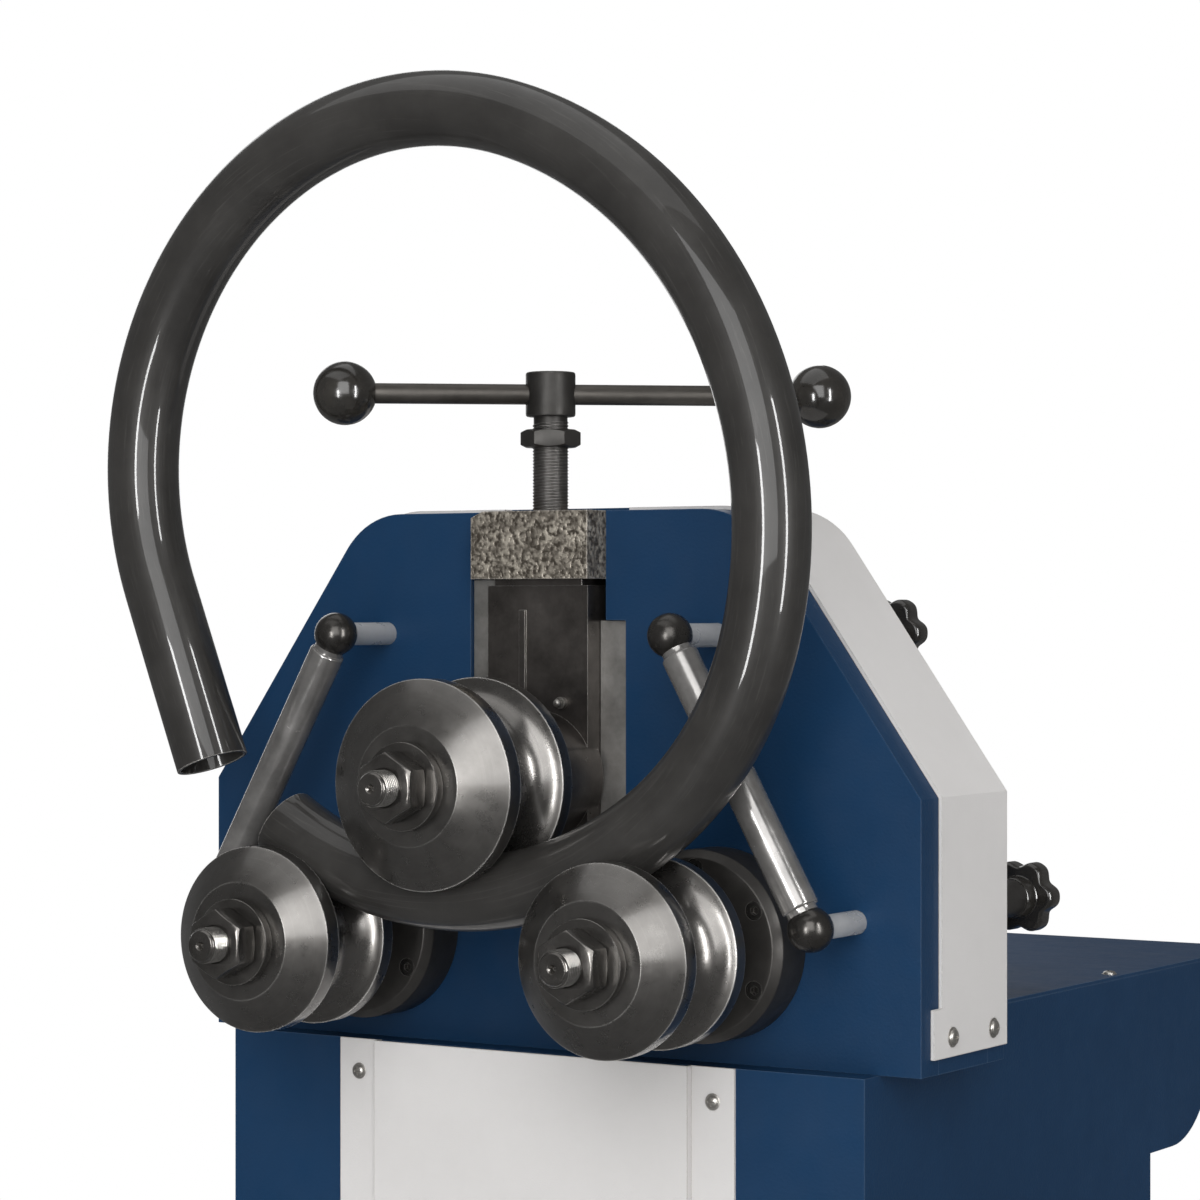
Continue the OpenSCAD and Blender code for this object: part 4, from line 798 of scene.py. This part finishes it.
# Screw spindle: 28 mm steel with a two-start thread, its neck held by the keeper plate. The jam
# nut on it stops the screw at a set depth.
low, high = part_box("spindle")
keeper_low, keeper_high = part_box("keeper_plate")
hub_low, hub_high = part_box("handle_hub")
spindle_r, neck_r, hub_seat_r = (high.x - low.x) / 2, 0.009, 0.010
lead_pitch, lead_deep, thread_from = 0.0025, 0.0007, 0.005
axis = (low + high) / 2
core = spindle_r - lead_deep
profile = [(low.z, spindle_r - 0.001), (low.z + 0.001, spindle_r), (keeper_low.z, spindle_r),
           (keeper_low.z, neck_r), (keeper_high.z, neck_r), (keeper_high.z, spindle_r),
           (keeper_high.z + 0.003, spindle_r), (keeper_high.z + 0.004, core), (hub_low.z, core),
           (hub_low.z, hub_seat_r), (high.z, hub_seat_r)]
spindle = turned("spindle_rod", eased(profile, 0.0004), (axis.x, axis.y, 0))
start = keeper_high.z + thread_from
ridges = thread("spindle_thread", (axis.x, axis.y, start), (0, 0, 1), hub_low.z - start - 0.003,
                2 * spindle_r, lead_pitch, lead_deep, starts=2)
screw_steel = steel("screw_steel", (0.024, 0.0225, 0.0205), (0.044, 0.0415, 0.0385), 0.42,
                    metal=0.55, worn=0.25, edge=(0.25, 0.24, 0.23), draw=(1, 1, 0.1))
fitted(joined("screw_spindle", [spindle, ridges]), "screw", "dark_steel", screw_steel, "spindle")
low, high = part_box("lock_nut")
jam_nut_flats, jam_nut_bore = 0.041, spindle_r - 0.0004
nut = hex_nut("jam_nut", (axis.x, axis.y, low.z), (0, 0, 1), jam_nut_flats, high.z - low.z,
              jam_nut_bore)
phosphate = steel("phosphated_steel", (0.030, 0.028, 0.026), (0.055, 0.052, 0.048), 0.42,
                  metal=0.5)
fitted(nut, "jam_nut", "dark_steel", phosphate, "lock_nut")

# Handle: a turned hub pinned on the spindle, a 16 mm bar that slides through it, and a black
# moulded ball on each end, pressed on to the bar and polished.
bar_angle, bar_r, ball_r = math.radians(40), 0.008, 0.025
bar_way = Vector((math.cos(bar_angle), math.sin(bar_angle), 0))
bar_at = Vector((axis.x, axis.y, (hub_low.z + hub_high.z) / 2))
reaches = {"left": 0.161, "right": 0.214}
in_ball, ball_flat = 0.012, 0.002
hub_radius = (hub_high.x - hub_low.x) / 2
profile = [(hub_low.z, hub_seat_r), (hub_low.z, hub_radius), (hub_high.z, hub_radius),
           (hub_high.z, 0.004), (hub_high.z - 0.002, 0.002)]
hub = turned("handle_boss", eased(profile, 0.0022), (axis.x, axis.y, 0))
hole = turned("hole", [(-0.03, bar_r + 0.0001), (0.03, bar_r + 0.0001)], bar_at, bar_way, sides=48)
cut(hub, hole)
apply_modifier(hub, "BEVEL", width=0.0006, segments=2, limit_method="ANGLE",
               angle_limit=math.radians(35))
fitted(smoothed(hub), "screw", "dark_steel", screw_steel, "handle_hub")
bar_start = ball_r - in_ball - reaches["left"]
bar_end = reaches["right"] - ball_r + in_ball
profile = [(bar_start, bar_r - 0.001), (bar_start + 0.001, bar_r), (bar_end - 0.001, bar_r),
           (bar_end, bar_r - 0.001)]
bar = turned("sliding_bar", eased(profile, 0.0003), bar_at, bar_way, sides=48)
bar_steel = steel("drawn_bar", (0.058, 0.053, 0.047), (0.090, 0.083, 0.075), 0.42, metal=0.7,
                  worn=0.3)
fitted(bar, "handle_bar", "bright_steel", bar_steel, "tee_bar")

moulded_black, tree, sockets, here = finish("moulded_black", 0.16, gloss=0.5)
sockets["Coat Weight"].default_value = 0.4
sockets["Coat Roughness"].default_value = 0.08
fade = patchy(tree, here, 60, 6, 0.35, 0.75)
colour = tint(tree, fade, (0.018, 0.0165, 0.0145), (0.034, 0.031, 0.027))
tree.links.new(colour, sockets["Base Color"])
handled = patchy(tree, here, 150, 8, 0.4, 0.7, 0.12, 0.30, ragged=0.7)
tree.links.new(handled, sockets["Roughness"])
tree.links.new(relief(tree, grain(tree, here, 90, 3), 0.00008), sockets["Normal"])
for side, outward in (("left", -bar_way), ("right", bar_way)):
    centre = bar_at + outward * reaches[side]
    flat_at = -(ball_r - ball_flat)
    steps = [math.radians(a) for a in range(-66, 88, 6)]
    arc = [(ball_r * math.sin(a), ball_r * math.cos(a)) for a in steps
           if ball_r * math.sin(a) > flat_at]
    face = math.sqrt(ball_r ** 2 - flat_at ** 2)
    profile = [(flat_at, bar_r), (flat_at, face)] + arc + [(ball_r, 0.0006)]
    ball = turned(f"ball_{side}", eased(profile, 0.0008), centre, outward, sides=80)
    fitted(ball, "handle_bar", "black_plastic", moulded_black, f"ball_knob_{side}")

# Guide bars: a round steel bar slanting down each side between two rounded knuckles, with a
# relieved neck at each end. Each knuckle is pressed on a bright rod that slides in the head.
knuckle_r, guide_r, neck, neck_w, bar_chamfer = 0.017, 0.014, 0.0118, 0.004, 0.0008
near_knuckle = knuckle_r + 0.0012
rod_steel = steel("ground_rod", (0.62, 0.61, 0.59), (0.74, 0.73, 0.71), 0.30, metal=0.5, worn=0.4,
                  edge=(0.8, 0.78, 0.75))
guide_steel = steel("guide_steel", (0.19, 0.185, 0.18), (0.33, 0.32, 0.31), 0.18, metal=0.6,
                    worn=0.45)
knuckle_steel = steel("knuckle_steel", (0.036, 0.034, 0.031), (0.065, 0.061, 0.057), 0.24,
                      metal=0.7)
for side, away in (("left", -1), ("right", 1)):
    low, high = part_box(f"guide_bar_{side}")
    depth = (low.y + high.y) / 2
    inner, outer = (high.x, low.x) if away < 0 else (low.x, high.x)
    top = Vector((inner + away * knuckle_r, depth, high.z - knuckle_r))
    foot = Vector((outer - away * knuckle_r, depth, low.z + knuckle_r))
    run = (foot - top).length
    dome = [math.radians(a) for a in range(-84, 47, 10)]
    cap = [(knuckle_r * math.sin(a), knuckle_r * math.cos(a)) for a in dome]
    meets = math.sqrt(knuckle_r ** 2 - neck ** 2)
    bar_in = meets + neck_w
    half = cap + [(meets, neck), (bar_in, neck), (bar_in, guide_r - bar_chamfer),
                  (bar_in + 0.0012, guide_r)]
    profile = half + [(run - at, r) for at, r in reversed(half)]
    bar = turned(f"slanted_bar_{side}", eased(profile, 0.0007), top, foot - top, sides=72)
    fitted(bar, f"guide_{side}", "dark_steel", guide_steel, f"guide_bar_{side}")
    bar.data.materials.append(knuckle_steel)
    for face in bar.data.polygons:
        to_end = min((face.center - top).length, (face.center - foot).length)
        face.material_index = 1 if to_end < near_knuckle else 0
    dressed(f"guide_rods_{side}", f"slide_rods_{side}", 0.0012, f"guide_{side}", "bright_steel",
            rod_steel)

# Star knobs: black moulded six-lobed knobs on the rods' rear ends, with a plain hub in front and
# a dished back.
lobes, lobe_deep, star_t, rod_hole_r = 6, 0.0058, 0.020, 0.0092
for place in ("upper_left", "lower_left", "upper_right", "lower_right"):
    node = f"star_knob_{place}"
    low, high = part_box(node)
    middle = (low + high) / 2
    star_r = max(high.z - low.z, high.x - low.x) / 2
    hub_front, star_front, star_back = low.y, high.y - star_t, high.y
    profile = [(hub_front, rod_hole_r), (hub_front, star_r * 0.54), (star_front, star_r * 0.56),
               (star_front, star_r - 0.003), (star_front + 0.003, star_r),
               (star_back - 0.003, star_r), (star_back, star_r - 0.003), (star_back, star_r * 0.45),
               (star_back - 0.003, star_r * 0.38), (star_back - 0.003, rod_hole_r),
               (hub_front, rod_hole_r)]
    knob = turned(f"knob_{place}", eased(profile, 0.0016), (middle.x, 0, middle.z), (0, 1, 0),
                  sides=96)
    for vertex in knob.data.vertices:
        across, up = vertex.co.x - middle.x, vertex.co.z - middle.z
        reach = math.hypot(across, up)
        if reach > star_r * 0.6:
            wave = 0.5 - 0.5 * math.cos(lobes * math.atan2(up, across))
            share = (reach - star_r * 0.6) / (star_r * 0.4)
            scale = 1 - lobe_deep * wave ** 1.6 * share / reach
            vertex.co.x, vertex.co.z = middle.x + across * scale, middle.z + up * scale
    fitted(smoothed(knob, 40), f"knob_{place}", "black_plastic", moulded_black, node)

# Bent tube: seamless steel, 57 mm across with a 3 mm wall, cold-bent in the rolls to a ring that
# is not yet closed. It keeps its dark mill scale, with drawing lines and scuffs along it.
tail, free_end, wall = math.radians(237), 0.146, 0.003
bends = ((69, 0.292), (39, 0.2385), (88, 0.323), (128, 0.267))
ring_centre = Vector((0, -tube_lead, tube_low.z + tube_r + bends[0][1]))
place = ring_centre + bends[0][1] * Vector((math.cos(tail), 0, math.sin(tail)))
heading = tail + math.pi / 2
way = Vector((math.cos(heading), 0, math.sin(heading)))
bpy.ops.mesh.primitive_circle_add(vertices=64, radius=tube_r, location=place,
                                  rotation=way.to_track_quat("Z", "Y").to_euler())
tube = named("bent_steel_tube")
bpy.ops.object.transform_apply()
bpy.ops.object.mode_set(mode="EDIT")
bpy.ops.mesh.select_all(action="SELECT")
for turn, radius in bends:
    centre = place + radius * Vector((-math.sin(heading), 0, math.cos(heading)))
    bpy.ops.mesh.spin(steps=round(turn / 1.8), angle=math.radians(turn), center=centre,
                      axis=(0, 1, 0))
    heading += math.radians(turn)
    place = centre + radius * Vector((math.sin(heading), 0, -math.cos(heading)))
way = Vector((math.cos(heading), 0, math.sin(heading)))
bpy.ops.mesh.extrude_region_move(TRANSFORM_OT_translate={"value": way * free_end})
bpy.ops.mesh.select_all(action="SELECT")
bpy.ops.mesh.remove_doubles(threshold=1e-6)
bpy.ops.mesh.normals_make_consistent(inside=False)
bpy.ops.object.mode_set(mode="OBJECT")
apply_modifier(tube, "SOLIDIFY", thickness=wall, offset=-1)
apply_modifier(tube, "BEVEL", width=0.0006, segments=2, limit_method="ANGLE",
               angle_limit=math.radians(40))
smoothed(tube, 40)

mill_scale, tree, sockets, here = finish("mill_scale", 0.40, 0.12, gloss=0.15)
sockets["Coat Weight"].default_value = 0.6
sockets["Coat Roughness"].default_value = 0.05
facing = put(tree, "VectorTransform", {0: put(tree, "NewGeometry")["Normal"]}, vector_type="NORMAL",
             convert_from="WORLD", convert_to="OBJECT")[0]
centred = put(tree, "Mapping", {"Vector": here, "Location": (0, 0, -ring_centre.z)})[0]
outwards = put(tree, "VectorMath", {0: centred, 1: (1, 0, 1)}, operation="MULTIPLY")[0]
unit = put(tree, "VectorMath", {0: outwards}, operation="NORMALIZE")["Vector"]
outer = put(tree, "VectorMath", {0: facing, 1: unit}, operation="DOT_PRODUCT")["Value"]
slow = put(tree, "VectorMath", {0: unit, 1: (0.6, 0.6, 0.6)}, operation="MULTIPLY")[0]
sideways = put(tree, "SeparateXYZ", {0: facing})["Y"]
round_it = put(tree, "CombineXYZ", {"X": outer, "Y": sideways})[0]
lines = put(tree, "VectorMath", {0: round_it, 1: slow}, operation="ADD")[0]
drawn = grain(tree, lines, 13, 5, 0.65)
patches = patchy(tree, here, 14, 8, 0.34, 0.66, ragged=0.62)
colour = tint(tree, patches, (0.027, 0.0255, 0.024), (0.043, 0.041, 0.0385))
colour = cover_colour(tree, ramp(tree, drawn, 0.56, 0.72, 0, 0.35), colour, (0.090, 0.086, 0.081))
rust = patchy(tree, here, 38, 9, 0.66, 0.78, 0, 0.4, ragged=0.72)
colour = cover_colour(tree, rust, colour, (0.065, 0.042, 0.027))
rubbed = edges_rubbed(tree, here, 120.0, 0.5, 0.0014)
tree.links.new(cover_colour(tree, rubbed, colour, (0.55, 0.53, 0.50)), sockets["Base Color"])
uneven = patchy(tree, here, 55, 8, 0.3, 0.72, 0.34, 0.46, ragged=0.66)
tree.links.new(uneven, sockets["Roughness"])
scale_skin = maths(tree, "ADD", maths(tree, "MULTIPLY", drawn, 0.6), grain(tree, here, 180, 4))
tree.links.new(relief(tree, scale_skin, 0.00006), sockets["Normal"])
fitted(tube, "workpiece", "tube_steel", mill_scale, "bent_tube")
